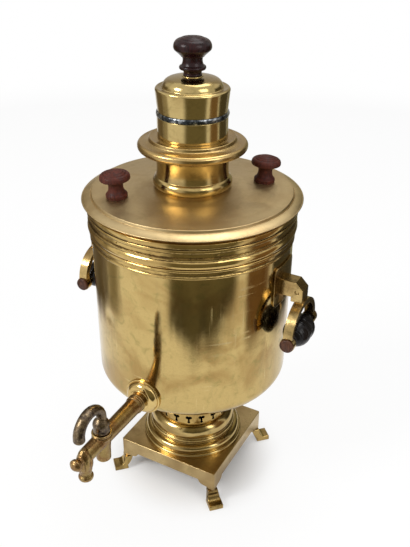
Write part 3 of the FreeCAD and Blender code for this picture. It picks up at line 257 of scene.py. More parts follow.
def metal(name, ageing, rubbed, aged, olive, age, satin, relief=0.12):
    """A metal of one ageing group: rubbed, aged and olive tones, satin is its least roughness."""
    made = bpy.data.materials.new(name)
    made.use_nodes = True
    tree = made.node_tree
    shader = tree.nodes["Principled BSDF"]
    shader.inputs["Metallic"].default_value = 1.0
    place = add(tree, "ShaderNodeTexCoord").outputs["Object"]
    group = add(tree, "ShaderNodeGroup", node_tree=ageing)
    for label, value in (("Rubbed", rubbed), ("Aged", aged), ("Olive", olive), ("Age", age),
                         ("Satin", satin)):
        group.inputs[label].default_value = value
    tree.links.new(place, group.inputs["Where"])
    bump = add(tree, "ShaderNodeBump", {"Height": group.outputs["Height"], "Strength": relief,
                                        "Distance": 0.4 * MM})
    tree.links.new(group.outputs["Colour"], shader.inputs["Base Color"])
    tree.links.new(group.outputs["Roughness"], shader.inputs["Roughness"])
    tree.links.new(bump.outputs[0], shader.inputs["Normal"])
    return made


def paint(piece, material):
    piece.data.materials.clear()
    piece.data.materials.append(material)
    return piece


def fit(piece, body, finish, material, *nodes):
    """Fixes a piece to its body: its paint and the nodes it stands for. Its finish is not used."""
    paint(piece, material)
    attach(piece, body)
    if nodes:
        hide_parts(*nodes)
    return piece


def dress(material, *nodes):
    """Gives carried-over nodes of the frame a material."""
    for name in nodes:
        paint(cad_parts[name], material)


plinth_brass = metal("plinth_satin_brass", brass_ageing_group, (0.54, 0.40, 0.19, 1),
                     (0.28, 0.18, 0.075, 1), (0.33, 0.25, 0.10, 1), 0.75, 0.32)
fit(plinth_shape(), "base", "brass", plinth_brass, "plinth")


# ---- Feet ----
# Four cast brass feet, screwed under the corners of the plinth on its diagonals: a bent ankle that
# swings out to a square toe. They are polished with the tray.
foot_reach = 101.5 * MM
toe_length = 16.5 * MM
toe_height = 6.0 * MM
toe_half_width = 8.25 * MM
ankle_half_width = 5.75 * MM
ankle_depth = 9.5 * MM
foot_bearings = {"front_left": 225, "front_right": 315, "back_right": 45, "back_left": 135}
corner_reach = (plinth_side / 2 - 2.4 * MM) * math.sqrt(2) + 2.4 * MM


def arc(start, stop, bulge, steps=8):
    """Points of the arc after start up to stop, which stands off its chord by bulge, on the right
    hand of the way from start to stop."""
    along, up = stop[0] - start[0], stop[1] - start[1]
    chord = math.hypot(along, up)
    if abs(bulge) < chord * 1e-3:
        return [stop]
    radius = (chord * chord / 4 + bulge * bulge) / (2 * abs(bulge))
    sweep = 2 * math.asin(min(1.0, chord / 2 / radius))
    if abs(bulge) > chord / 2:
        sweep = 2 * math.pi - sweep
    side = 1 if bulge > 0 else -1
    right = (up / chord * side, -along / chord * side)
    centre = ((start[0] + stop[0]) / 2 - right[0] * (radius - abs(bulge)),
              (start[1] + stop[1]) / 2 - right[1] * (radius - abs(bulge)))
    first = math.atan2(start[1] - centre[1], start[0] - centre[0])
    return [(centre[0] + radius * math.cos(first + side * sweep * k / steps),
             centre[1] + radius * math.sin(first + side * sweep * k / steps))
            for k in range(1, steps + 1)]


def trace(points):
    """An outline's points with its arcs drawn in: a third number is an arc's bulge from the last."""
    made = []
    for point in points:
        if len(point) > 2 and made:
            made += arc(made[-1], point[:2], point[2])
        else:
            made.append(tuple(point[:2]))
    return made


def foot_shape(name, bearing):
    shin = corner_reach - 0.6 * MM
    heel = foot_reach - toe_length
    height = plinth_under
    side = trace([
        (heel, 0), (foot_reach, 0), (foot_reach, toe_height * 0.8),
        (foot_reach - 1.6 * MM, toe_height, 0.5 * MM), (foot_reach - 4.4 * MM, toe_height + 0.2 * MM),
        (shin + 0.6 * MM, height * 0.72, -2.4 * MM), (shin, height, 0.3 * MM),
        (shin - ankle_depth, height), (heel + 1.5 * MM, toe_height * 0.8, 1.6 * MM),
        (heel, toe_height * 0.45)])

    def half_width(up):
        share = min(1.0, max(0.0, (up - toe_height * 0.9) / (height * 0.45)))
        return toe_half_width + (ankle_half_width - toe_half_width) * share ** 0.7

    piece = bar(name, side, half_width)
    piece.data.transform(Matrix.Rotation(math.radians(bearing), 4, "Z"))
    return soften(piece, 0.9 * MM, 3, 28)


foot_brass = metal("foot_cast_brass", brass_ageing_group, (0.50, 0.35, 0.13, 1),
                   (0.20, 0.125, 0.04, 1), (0.16, 0.12, 0.045, 1), 0.95, 0.22, 0.25)
for corner, bearing in foot_bearings.items():
    fit(foot_shape("cast_foot_" + corner, bearing), "base", "brass", foot_brass, "foot_" + corner)


# ---- Pedestal ----
# A hollow brass casting, turned on a lathe as a foot band, a bold round, two fillets and a large
# torus under the neck. It is brazed on the plinth and shines on its crests.
pedestal_low, pedestal_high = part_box("pedestal")
pedestal_radius = pedestal_high.x
pedestal_wall = 2.6 * MM
neck_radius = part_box("air_neck")[1].x - 5.8 * MM
lathe_edge = 0.35 * MM


def ease(points, edge):
    """Rounds the sharp corners of a closed outline by a small edge."""
    made = []
    count = len(points)
    for k in range(count):
        before, here, after = (Vector(points[i]) for i in (k - 1, k, (k + 1) % count))
        back, on = before - here, after - here
        if here.x < 1e-7 or back.length < 1e-7 or on.length < 1e-7 or back.angle(on) > math.radians(152):
            made.append(tuple(here))
            continue
        cut = min(edge, back.length * 0.45, on.length * 0.45)
        first, last = here + back.normalized() * cut, here + on.normalized() * cut
        for share in (0, 0.33, 0.67, 1):
            made.append(tuple(first.lerp(here, share).lerp(here.lerp(last, share), share)))
    return made


def turned(name, outline, sides=144, edge=lathe_edge, rows=None):
    """A piece turned on a lathe: the closed outline of (radius, level, bulge) points, spun about Z.
    Straight runs longer than rows are split, so that the piece can be dented."""
    points = ease(trace(outline), edge)
    if rows:
        longer = []
        for k, here in enumerate(points):
            after = points[(k + 1) % len(points)]
            parts = max(1, round(math.dist(here, after) / rows))
            longer += [(here[0] + (after[0] - here[0]) * j / parts,
                        here[1] + (after[1] - here[1]) * j / parts) for j in range(parts)]
        points = longer
    shape = bmesh.new()
    turns = [2 * math.pi * k / sides for k in range(sides)]
    rings = [[shape.verts.new((0, 0, up))] if radius < 1e-7 else
             [shape.verts.new((radius * math.cos(a), radius * math.sin(a), up)) for a in turns]
             for radius, up in points]
    for low, high in zip(rings, rings[1:] + rings[:1]):
        for k in range(sides):
            loop = [low[k % len(low)], low[(k + 1) % len(low)], high[(k + 1) % len(high)],
                    high[k % len(high)]]
            loop = [v for i, v in enumerate(loop) if v not in loop[:i]]
            if len(loop) > 2:
                shape.faces.new(loop)
    piece = link(name, shape)
    piece.modifiers.new("lathe_shine", "WEIGHTED_NORMAL")
    return piece


def stack(radius, level, steps):
    """Outline points of a moulding: each step is its inset, its rise and its bulge, in mm."""
    made = []
    for inset, rise, bulge in steps:
        radius -= inset * MM
        level += rise * MM
        made.append((radius, level, bulge * MM) if bulge else (radius, level))
    return made


foot_band = (0, 2.6, 0)
foot_round = (2.2, 2.4, 0.7)
lower_round = [(1.2, 0, 0), (0, 1.2, 0), (4.8, 7.2, 2.4)]
middle_band = [(0.7, 0, 0), (0, 2.8, 0)]
upper_bead = [(1.1, 0, 0), (0.9, 3.4, 1.3)]
torus_ledge = (0.5, 0.6, 0)
torus_bulge = 3.8 * MM
pedestal_side = stack(pedestal_radius, pedestal_low.z,
                      [foot_band, foot_round] + lower_round + middle_band + upper_bead + [torus_ledge])
seat = neck_radius - 1.2 * MM
waist = pedestal_side[-1][0] - pedestal_wall
hollow = pedestal_radius - 2 * pedestal_wall
pedestal_outline = [(hollow, pedestal_low.z), (pedestal_radius, pedestal_low.z)] + pedestal_side
pedestal_outline += [(neck_radius + 0.9 * MM, pedestal_high.z, torus_bulge), (seat, pedestal_high.z),
                     (seat, pedestal_high.z - 2 * MM), (waist, pedestal_high.z - 7 * MM),
                     (waist, pedestal_side[-1][1]),
                     (pedestal_side[5][0] - pedestal_wall * 1.3, pedestal_side[4][1] - 0.4 * MM),
                     (hollow, pedestal_low.z + 4.4 * MM)]
pedestal_brass = metal("pedestal_polished_brass", brass_ageing_group, (0.50, 0.365, 0.145, 1),
                       (0.26, 0.165, 0.06, 1), (0.19, 0.145, 0.05, 1), 0.75, 0.18)
fit(turned("turned_pedestal", pedestal_outline), "base", "brass", pedestal_brass, "pedestal")


# ---- Air neck ----
# A ring of brass sheet under the body, pierced with eighteen clover holes that let air to the
# fire. Its flange is soldered under the body, and the holes show the dark space inside.
neck_low, neck_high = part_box("air_neck")
sheet = 1.2 * MM
flange_sheet = 1.6 * MM
grate_ledge = neck_radius - 5.2 * MM
hole_count = 18
hole_phase = 3.0
hole_level = neck_low.z + 11.2 * MM
leaf_radius, leaf_spread = 2.1 * MM, 1.7 * MM
stem_width, foot_drop, foot_radius = 2.2 * MM, 6.6 * MM, 1.7 * MM


def clover_cutters():
    """The tools that pierce the neck: two leaves, a stem and a foot for each hole."""
    shape = bmesh.new()
    for k in range(hole_count):
        turn = Matrix.Rotation(math.radians(hole_phase + 360 * k / hole_count), 4, "Z")
        outward = turn @ Matrix.Rotation(math.pi / 2, 4, "X")
        rounds = ((-leaf_spread, 0, leaf_radius), (leaf_spread, 0, leaf_radius),
                  (0, -foot_drop, foot_radius))
        for across, up, radius in rounds:
            place = Matrix.Translation((across, hole_level + up, neck_radius))
            bmesh.ops.create_cone(shape, cap_ends=True, segments=16, radius1=radius, radius2=radius,
                                  depth=8 * MM, matrix=outward @ place)
        place = Matrix.Translation((0, hole_level - foot_drop / 2, neck_radius))
        size = Matrix.Diagonal((stem_width, foot_drop, 8 * MM, 1))
        bmesh.ops.create_cube(shape, size=1, matrix=outward @ place @ size)
    return shape


def pierced_neck():
    inner, under = neck_radius - sheet, neck_high.z - flange_sheet
    flange = neck_high.x
    neck = turned("pierced_air_neck", [
        (inner, neck_low.z), (neck_radius, neck_low.z), (neck_radius, under - 0.6 * MM),
        (neck_radius + 0.6 * MM, under, -0.2 * MM), (flange, under), (flange, neck_high.z),
        (grate_ledge, neck_high.z), (grate_ledge, under), (inner, under)], 216, 0.2 * MM)
    neck.modifiers.clear()
    every = clover_cutters()
    for k in range(4):
        part = bmesh.new()
        faces = bpy.data.meshes.new("piercing")
        every.to_mesh(faces)
        part.from_mesh(faces)
        bpy.data.meshes.remove(faces)
        islands = sorted_islands(part)
        kept = {v for i, island in enumerate(islands) if i % 4 == k for v in island}
        bmesh.ops.delete(part, geom=[v for v in part.verts if v not in kept], context="VERTS")
        carve(neck, link("piercing_%d" % k, part))
    every.free()
    return soften(neck, 0.18 * MM, 1)


def sorted_islands(shape):
    """The separate solids of a bmesh, each as a list of its corners, in the order they were made."""
    shape.verts.ensure_lookup_table()
    seen, islands = set(), []
    for start in shape.verts:
        if start in seen:
            continue
        island, front = [], [start]
        seen.add(start)
        while front:
            here = front.pop()
            island.append(here)
            for edge in here.link_edges:
                there = edge.other_vert(here)
                if there not in seen:
                    seen.add(there)
                    front.append(there)
        islands.append(island)
    return islands


neck_brass = metal("neck_brass", brass_ageing_group, (0.55, 0.38, 0.13, 1), (0.24, 0.13, 0.04, 1),
                   (0.15, 0.11, 0.035, 1), 0.9, 0.17)
fit(pierced_neck(), "base", "brass", neck_brass, "air_neck")


# ---- Plate of painted shade ----
# A loose disc of thin sheet iron that lies on the plinth inside the pedestal. Its near-black is painted
# shade, the shade of the closed space inside, so that the clover holes look black from outside.
plate_edge = hollow - 2.5 * MM
plate_floor = pedestal_low.z + 0.1 * MM
plate_iron = 0.8 * MM
plate_lip = 2.2 * MM


def soot_and_painted_shade():
    """Painted shade: black and dull, a little greyer in random patches."""
    made = bpy.data.materials.new("plate_painted_shade")
    made.use_nodes = True
    tree = made.node_tree
    shader = tree.nodes["Principled BSDF"]
    shader.inputs["Specular IOR Level"].default_value = 0.1
    shade_mottle = clouds(tree, add(tree, "ShaderNodeTexCoord").outputs["Object"], 60, 5, 0.6)
    # The plate's near-black colour is painted shade for the closed space inside the pedestal.
    colour = blend(tree, band(tree, shade_mottle, 0.5, 0.75), (0.006, 0.005, 0.005, 1), (0.022, 0.020, 0.018, 1))
    tree.links.new(colour, shader.inputs["Base Color"])
    tree.links.new(band(tree, shade_mottle, 0.2, 0.8, 0.85, 0.98), shader.inputs["Roughness"])
    bump = add(tree, "ShaderNodeBump", {"Height": shade_mottle, "Strength": 0.3, "Distance": MM})
    tree.links.new(bump.outputs[0], shader.inputs["Normal"])
    return made


# This plate stands where there is only shade inside the pedestal, so its black is painted shade.
painted_shade_plate = turned("painted_shade_plate", [
    (0, plate_floor), (plate_edge, plate_floor), (plate_edge, plate_floor + plate_lip),
    (plate_edge - plate_iron, plate_floor + plate_lip),
    (plate_edge - 2.0 * MM, plate_floor + 0.9 * MM, -0.3 * MM), (0, plate_floor + 0.9 * MM)], 96)
fit(painted_shade_plate, "base", "steel", soot_and_painted_shade())


# ---- Grate and fire tube ----
# The cast-iron grate and the tinned steel jug over it hold the charcoal. They come as the frame
# gives them, black and scaled from the fire inside, and grey with old tin outside.


def sooty(name, bare, soot_and_painted_shade, amount, least, metallic):
    """A metal or casting under soot: bare colour, soot colour, and how much of it there is."""
    made = bpy.data.materials.new(name)
    made.use_nodes = True
    tree = made.node_tree
    shader = tree.nodes["Principled BSDF"]
    shader.inputs["Metallic"].default_value = metallic
    place = add(tree, "ShaderNodeTexCoord").outputs["Object"]
    cloud = clouds(tree, place, 130, 6, 0.65, 0.5)
    grain = clouds(tree, place, 900, 3, 0.6)
    share = band(tree, cloud, 0.62 - amount * 0.4, 0.80 - amount * 0.3)
    tree.links.new(blend(tree, share, bare, soot_and_painted_shade), shader.inputs["Base Color"])
    tree.links.new(band(tree, grain, 0.2, 0.8, least, least + 0.25), shader.inputs["Roughness"])
    bump = add(tree, "ShaderNodeBump", {"Height": times(tree, grain, cloud, "ADD"), "Strength": 0.35,
                                        "Distance": 0.4 * MM})
    tree.links.new(bump.outputs[0], shader.inputs["Normal"])
    return made


dress(sooty("grate_iron", (0.06, 0.055, 0.05, 1), (0.012, 0.011, 0.010, 1), 0.8, 0.55, 0.0), "grate")
dress(sooty("tinned_jug", (0.42, 0.42, 0.41, 1), (0.06, 0.055, 0.05, 1), 0.5, 0.34, 1.0), "fire_tube")


# ---- Body ----
# The water jacket: brass sheet rolled to a cylinder and hammered in at the heel to a shallow dish.
# A century of polishing left it softly wavy, yellow where it is rubbed and brown and olive in
# patches, with fine scratches, a few pits and three small dents.
body_low, body_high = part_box("body_shell")
body_radius = body_high.x
heel_radius = 17.5 * MM
dish_slope = math.radians(30)
dish_flat = neck_high.x + 1.0 * MM
tube_foot = neck_radius - 0.4 * MM
wave_height = 0.22 * MM
dents = (((-0.0440, -0.0968, 0.243), 9 * MM, 0.7 * MM), ((0.086, -0.062, 0.205), 16 * MM, 0.45 * MM),
         ((-0.02, 0.105, 0.21), 14 * MM, 0.6 * MM))


def body_outline():
    heel_axis = body_radius - heel_radius
    bend_end = (heel_axis + heel_radius * math.sin(dish_slope))
    rise = (bend_end - dish_flat) * math.tan(dish_slope)
    heel_level = body_low.z + rise + heel_radius * math.cos(dish_slope)

    def skin(inset):
        bend = heel_radius - inset
        turn = math.pi / 2 - dish_slope
        return [(dish_flat - inset * math.tan(dish_slope / 2), body_low.z + inset),
                (heel_axis + bend * math.sin(dish_slope), heel_level - bend * math.cos(dish_slope)),
                (body_radius - inset, heel_level, bend * (1 - math.cos(turn / 2)))]

    flat, bend, wall = skin(sheet)
    return [(tube_foot, body_low.z)] + skin(0) + [
        (body_radius, body_high.z), (body_radius - sheet, body_high.z), wall[:2],
        (bend[0], bend[1], -wall[2]), flat, (tube_foot, body_low.z + sheet)]


def planish(piece, height, pitch, hollows=()):
    """Moves the skin in and out a little, as hammering and wear do, and presses in the dents."""
    for corner in piece.data.vertices:
        here = corner.co
        out = Vector((here.x, here.y, 0)).normalized()
        swell = noise.noise(here / pitch) * height + noise.noise(here / (pitch * 0.38)) * height * 0.3
        for middle, reach, depth in hollows:
            away = (here - Vector(middle)).length / reach
            swell -= depth * math.exp(-away * away * 2)
        corner.co = here + out * swell
    return piece


body = turned("water_jacket", body_outline(), 240, 0.3 * MM, 4.5 * MM)
planish(body, wave_height, 38 * MM, dents)


def body_brass():
    """The body's finish: the aged brass with scratches and water stains."""
    made = metal("body_polished_brass", brass_ageing_group, (0.56, 0.41, 0.16, 1),
                 (0.36, 0.225, 0.075, 1), (0.32, 0.265, 0.09, 1), 0.85, 0.12, 0.12)
    tree = made.node_tree
    shader = tree.nodes["Principled BSDF"]
    place = add(tree, "ShaderNodeTexCoord").outputs["Object"]
    lines = times(tree, band(tree, clouds(tree, place, 240, 2, 0.4, 0.0, (1.0, 1.0, 0.04)), 0.62, 0.7),
                  band(tree, clouds(tree, place, 30, 2, 0.5), 0.5, 0.65))
    cross = times(tree, band(tree, clouds(tree, place, 200, 2, 0.4, 0.0, (0.05, 0.05, 1.0)), 0.64, 0.7),
                  band(tree, clouds(tree, place, 45, 2, 0.5), 0.52, 0.65))
    scratches = times(tree, lines, cross, "MAXIMUM")
    drips = times(tree, band(tree, clouds(tree, place, 75, 4, 0.6, 0.2, (1.0, 1.0, 0.12)), 0.55, 0.75), 0.35)
    colour = shader.inputs["Base Color"].links[0].from_socket
    colour = blend(tree, drips, colour, (0.40, 0.30, 0.13, 1))
    colour = blend(tree, times(tree, scratches, 0.5), colour, (0.72, 0.56, 0.28, 1))
    rough = shader.inputs["Roughness"].links[0].from_socket
    rough = times(tree, rough, times(tree, scratches, 0.16), "ADD")
    tree.links.new(colour, shader.inputs["Base Color"])
    tree.links.new(times(tree, rough, times(tree, drips, 0.2), "ADD"), shader.inputs["Roughness"])
    return made


fit(body, "base", "brass", body_brass(), "body_shell")


# ---- Beaded band and cornice ----
# Two turned brass mouldings soldered round the top of the body. The cornice laps over the rim and
# carries the seat of the lid. Dark brown rings lie in their grooves and at the joints under them:
# tarnish, and painted shade.
band_low, band_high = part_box("beaded_band")
cornice_low, cornice_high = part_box("cornice")
two_beads = [(-0.5, 0, 0), (0, 3.2, 1.1), (0.2, 0.3, 0), (0, 3.4, 0), (-0.6, 0.2, 0), (0, 3.5, 1.3)]
cornice_round = [(-0.8, 0, 0), (-0.6, 9.0, 2.3), (0.2, 0.4, 0), (-1.3, 0.2, 0), (0, 2.8, 0.4)]
cornice_flat = [(1.2, 0.2, 0), (0, 4.8, 0)]
cornice_rim = [(-1.3, 0.2, 0), (0, 3.3, 0.5), (1.2, 0.3, 0), (0, 0.8, 0), (-1.5, 0.2, 0)]
band_side = stack(body_radius, band_low.z, two_beads)
cornice_side = stack(body_radius, cornice_low.z, cornice_round + cornice_flat + cornice_rim)
lip = cornice_side[-1][0]
seat_level = cornice_high.z
mouth = body_radius - sheet
groove_aged = (0.36, 0.225, 0.075, 1)
groove_olive = (0.22, 0.16, 0.05, 1)
groove_tarnish_and_shade = (0.085, 0.05, 0.018, 1)


def grooved_brass(name, rubbed, marks):
    """Brass with dark brown rings at the marks, each a level and a spread: tarnish and painted shade."""
    made = metal(name, brass_ageing_group, rubbed, groove_aged, groove_olive, 0.7, 0.13)
    tree = made.node_tree
    shader = tree.nodes["Principled BSDF"]
    place = add(tree, "ShaderNodeTexCoord").outputs["Object"]
    level = add(tree, "ShaderNodeSeparateXYZ", {"Vector": place}).outputs[2]
    ragged = times(tree, band(tree, clouds(tree, place, 300, 4, 0.6), 0.2, 0.8, -0.6, 0.6), MM)
    level = times(tree, level, ragged, "ADD")
    dark = None
    for mark, spread in marks:
        away = times(tree, level, mark, "SUBTRACT")
        away = add(tree, "ShaderNodeMath", {0: away}, operation="ABSOLUTE").outputs[0]
        ring = band(tree, away, spread * 0.25, spread, 1.0, 0.0)
        dark = ring if dark is None else times(tree, dark, ring, "MAXIMUM")
    broken = band(tree, clouds(tree, place, 60, 5, 0.65), 0.3, 0.62, 0.35, 1.0)
    share = times(tree, times(tree, dark, broken), 0.9)
    # The dark rings laid on here are tarnish and painted shade in the grooves and joints.
    colour = blend(tree, share, shader.inputs["Base Color"].links[0].from_socket, groove_tarnish_and_shade)
    rough = times(tree, shader.inputs["Roughness"].links[0].from_socket, times(tree, share, 0.25), "ADD")
    tree.links.new(colour, shader.inputs["Base Color"])
    tree.links.new(rough, shader.inputs["Roughness"])
    return made


# Marks of tarnish and painted shade: the grooves, and the joint at the foot of each moulding.
band_grooves = [(band_side[k][1], 1.1 * MM) for k in (2, 4)] + [(band_low.z, 0.9 * MM)]
cornice_grooves = [(cornice_side[k][1], 1.3 * MM) for k in (2, 5, 7, 10)] + [(cornice_low.z, 1.2 * MM)]
beads = turned("beaded_ring", [(body_radius - 0.2 * MM, band_low.z)] + band_side + [
    (body_radius - 0.2 * MM, band_high.z)], 216, 0.2 * MM)
fit(beads, "base", "brass",
    grooved_brass("band_brass", (0.56, 0.39, 0.14, 1), band_grooves), "beaded_band")
cornice = turned("stepped_cornice", [(body_radius, cornice_low.z)] + cornice_side + [
    (lip, seat_level - 0.6 * MM, 0.3 * MM), (lip - 0.8 * MM, seat_level, 0.2 * MM), (mouth, seat_level),
    (mouth, body_high.z), (body_radius, body_high.z)], 216, 0.25 * MM)
planish(cornice, 0.12 * MM, 55 * MM)
fit(cornice, "base", "brass",
    grooved_brass("cornice_brass", (0.55, 0.385, 0.14, 1), cornice_grooves), "cornice")


# ---- Rivets ----
# Six brass pins with low round heads, driven through the flat band of the cornice and filed.
rivet_bearings = (-48, -103, -160, 132, 77, 17)
rivet_radius = 1.1 * MM
rivet_proud = 0.7 * MM
cornice_face = cornice_side[5][0]
rivet_level = (cornice_side[5][1] + cornice_side[6][1]) / 2
for number, bearing in enumerate(rivet_bearings):
    head = turned("pin_head_%d" % (number + 1), [
        (0, 0), (rivet_radius, 0), (rivet_radius, 0.15 * MM), (0.3 * MM, rivet_proud, 0.18 * MM),
        (0, rivet_proud)], 24, 0.05 * MM)
    outward = Matrix.Rotation(math.radians(bearing), 4, "Z") @ Matrix.Rotation(math.pi / 2, 4, "Y")
    head.data.transform(Matrix.Translation((
        cornice_face * math.cos(math.radians(bearing)), cornice_face * math.sin(math.radians(bearing)),
        rivet_level)) @ outward)
    fit(head, "base", "brass", neck_brass, "rivet_%d" % (number + 1))


# ---- Tap rose ----
# The domed brass plate that hides the joint of the tap, spun from sheet and soldered on the body.
# It is the best rubbed piece, so it mirrors the room.
tap_level = (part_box("tap_rose")[0].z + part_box("tap_rose")[1].z) / 2
rose_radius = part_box("tap_rose")[1].x
rose_rim = 1.8 * MM
rose_height = 8.5 * MM
rose_hub = 11.0 * MM
stem_radius = 9.2 * MM
towards_tap = Matrix.Translation((0, 0, tap_level)) @ Matrix.Rotation(math.pi / 2, 4, "X")


def pointing(piece):
    """Turns a piece that is drawn along +Z so that it stands out of the body along the tap."""
    piece.data.transform(towards_tap)
    return piece


rose = pointing(turned("domed_rose", [
    (stem_radius - 0.3 * MM, body_radius - 6 * MM), (rose_radius, body_radius - 6 * MM),
    (rose_radius, body_radius + rose_rim * 0.6), (rose_radius - 1.4 * MM, body_radius + rose_rim, 0.4 * MM),
    (rose_radius - 1.9 * MM, body_radius + rose_rim - 0.2 * MM),
    (rose_hub + 0.6 * MM, body_radius + rose_height - 0.6 * MM, 1.7 * MM),
    (rose_hub - 0.4 * MM, body_radius + rose_height, 0.3 * MM),
    (stem_radius - 0.3 * MM, body_radius + rose_height)], 96, 0.3 * MM))
rose_brass = metal("rose_bright_brass", brass_ageing_group, (0.66, 0.48, 0.19, 1),
                   (0.40, 0.24, 0.08, 1), (0.26, 0.20, 0.07, 1), 0.35, 0.08)
fit(rose, "base", "brass", rose_brass, "tap_rose")


# ---- Tap ----
# One bronze casting: a tapered stem with turned rings, an upright barrel, and a spout with a ribbed
# leaf, a round button and an outlet ring. Handling has browned it and rubbed its edges bright.
tap_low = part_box("tap_body")[0]
barrel_reach = 179.6 * MM
barrel_above, barrel_below = 9.8 * MM, 25.0 * MM
barrel_top, barrel_foot, barrel_collar = 8.9 * MM, 7.4 * MM, 0.9 * MM
spout_reach = 208.5 * MM
mouth_level = tap_level - tap_low.z
button_reach = -tap_low.y
button_radius = 6.0 * MM
leaf_height, leaf_half_width = 31.0 * MM, 8.4 * MM
cast_voxel = 0.55 * MM


def melt(name, pieces, voxel, passes=6):
    """Casts several closed pieces into one skin, whose joints flow into each other."""
    shape = bmesh.new()
    for piece in pieces:
        shape.from_mesh(piece.data)
        bpy.data.objects.remove(piece)
    cast = link(name, shape)
    remesh = cast.modifiers.new("cast", "REMESH")
    remesh.mode = "VOXEL"
    remesh.voxel_size = voxel
    flow = cast.modifiers.new("flow", "SMOOTH")
    flow.factor = 0.5
    flow.iterations = passes
    settle(cast)
    cast.data.polygons.foreach_set("use_smooth", [True] * len(cast.data.polygons))
    return cast


def upright(piece, reach):
    """Moves a piece that is drawn on the Z axis to its reach along the tap, at the tap's level."""
    piece.data.transform(Matrix.Translation((0, -reach, tap_level)))
    return piece


def leaf_shape():
    """A pointed oval that wraps the spout like a folded leaf, with ribs running from tip to tip."""
    shape = bmesh.new()
    rows, ribs = 24, 80
    rings = []
    for i in range(1, rows):
        share = i / rows
        width = leaf_half_width * math.sin(math.pi * share ** 0.9) ** 0.62
        ring = []
        for k in range(ribs):
            a = 2 * math.pi * k / ribs
            radius = width * (1 - 0.20 * max(0.0, math.cos(8 * a)) ** 2)
            ring.append(shape.verts.new((0.94 * radius * math.cos(a), -1.08 * radius * math.sin(a),
                                         (share - 0.5) * leaf_height)))
        rings.append(ring)
    for low, high in zip(rings, rings[1:]):
        for k in range(ribs):
            shape.faces.new((low[k], low[(k + 1) % ribs], high[(k + 1) % ribs], high[k]))
    shape.faces.new(rings[0])
    shape.faces.new(rings[-1])
    return link("leaf", shape)


def tap_shape():
    neck = body_radius + rose_height + 3 * MM
    ring = stem_radius + 0.6 * MM
    stem_side = [(0, body_radius - 5 * MM), (stem_radius, body_radius - 5 * MM), (stem_radius, neck)]
    for k in range(3):
        step = neck + (0.6 + 2.6 * k) * MM
        stem_side += [(ring + 0.3 * MM, step + 0.9 * MM, 0.3 * MM),
                      (stem_radius - 0.3 * MM, step + 2.0 * MM)]
    stem_side += [(8.2 * MM, barrel_reach), (7.7 * MM, spout_reach - 2 * MM), (0, spout_reach - 2 * MM)]
    stem = pointing(turned("stem", stem_side, 48))
    collar = barrel_top + barrel_collar
    barrel = upright(turned("barrel", [
        (0, -barrel_below), (barrel_foot - 1.4 * MM, -barrel_below),
        (barrel_foot, -barrel_below + 1.4 * MM, 0.4 * MM), (barrel_foot + 0.3 * MM, -barrel_below * 0.45),
        (barrel_top, barrel_above - 7.6 * MM), (collar, barrel_above - 7.0 * MM),
        (collar, barrel_above - 4.8 * MM, 0.5 * MM), (barrel_top - 0.1 * MM, barrel_above - 4.3 * MM),
        (barrel_top - 0.1 * MM, barrel_above - 3.4 * MM), (collar, barrel_above - 2.9 * MM),
        (collar, barrel_above - 0.4 * MM, 0.5 * MM), (0, barrel_above - 0.4 * MM)], 48), barrel_reach)
    mouth_rim = 0.4 * MM - mouth_level
    spout = upright(turned("spout", [
        (0, mouth_rim), (6.3 * MM, mouth_rim), (6.9 * MM, mouth_rim + 1.0 * MM, 0.3 * MM),
        (6.9 * MM, mouth_rim + 4.6 * MM, 0.5 * MM), (5.4 * MM, mouth_rim + 6.2 * MM),
        (6.6 * MM, -4.8 * MM, 1.0 * MM), (5.6 * MM, 4.0 * MM, 0.6 * MM), (0, 7.8 * MM, 1.6 * MM)], 48),
        spout_reach)
    leaf = leaf_shape()
    leaf.data.transform(Matrix.Translation((0, -spout_reach, tap_level - 5.0 * MM)))
    button = pointing(turned("button", [
        (0, spout_reach), (4.4 * MM, spout_reach), (4.4 * MM, button_reach - 7.5 * MM),
        (button_radius, button_reach - 5.6 * MM, 0.8 * MM),
        (button_radius - 1.0 * MM, button_reach - 2.3 * MM, 0.9 * MM),
        (0, button_reach - 0.4 * MM, 0.9 * MM)], 40))
    return melt("cast_tap", [stem, barrel, spout, leaf, button], cast_voxel, 3)


def bronze_ageing():
    """Handled bronze: dark brown in the hollows, coppery in patches, and brassy where it is rubbed."""
    tree, given, ends = node_group(
        "bronze_ageing",
        {"Where": "vector", "Rubbed": "colour", "Aged": "colour", "Olive": "colour", "Age": "value",
         "Satin": "value"},
        {"Colour": "colour", "Roughness": "value", "Height": "value"})
    where = given["Where"]
    broad = clouds(tree, where, 70, 4, 0.6, 0.4)
    fine = clouds(tree, where, 420, 5, 0.65)
    crests = add(tree, "ShaderNodeNewGeometry").outputs["Pointiness"]
    rubbed = band(tree, times(tree, crests, times(tree, fine, 0.06), "ADD"), 0.53, 0.60)
    deep = band(tree, crests, 0.50, 0.44)
    tone = blend(tree, band(tree, broad, 0.40, 0.62), given["Aged"], given["Olive"])
    tone = blend(tree, times(tree, band(tree, fine, 0.45, 0.7), 0.4), tone, given["Rubbed"])
    tone = blend(tree, times(tree, rubbed, 0.8), tone, given["Rubbed"])
    tone = blend(tree, times(tree, deep, 0.8), tone, (0.03, 0.02, 0.012, 1))
    gloss = times(tree, times(tree, fine, 0.22), given["Satin"], "ADD")
    gloss = times(tree, gloss, times(tree, given["Age"], 0.05), "ADD")
    join_outputs(tree, ends, Colour=tone, Roughness=gloss,
                 Height=times(tree, times(tree, fine, 0.7), broad, "ADD"))
    return tree


bronze_group = bronze_ageing()
tap_bronze = metal("tap_bronze", bronze_group, (0.52, 0.37, 0.17, 1), (0.22, 0.12, 0.045, 1),
                   (0.30, 0.21, 0.075, 1), 0.8, 0.16, 0.25)
fit(tap_shape(), "base", "tap_bronze", tap_bronze, "tap_body")


# ---- Tap key ----
# The loose key: a dark tapered plug with a thick hook that bends over to a club tip. Fingers have
# worn the top of the hook and the tip down to a lighter metal.
head_height, head_radius = 15.0 * MM, 8.3 * MM
hook_reach, hook_level = 17.4 * MM, 26.5 * MM
hook_axis = 16.0 * MM
hook_bar = 4.7 * MM


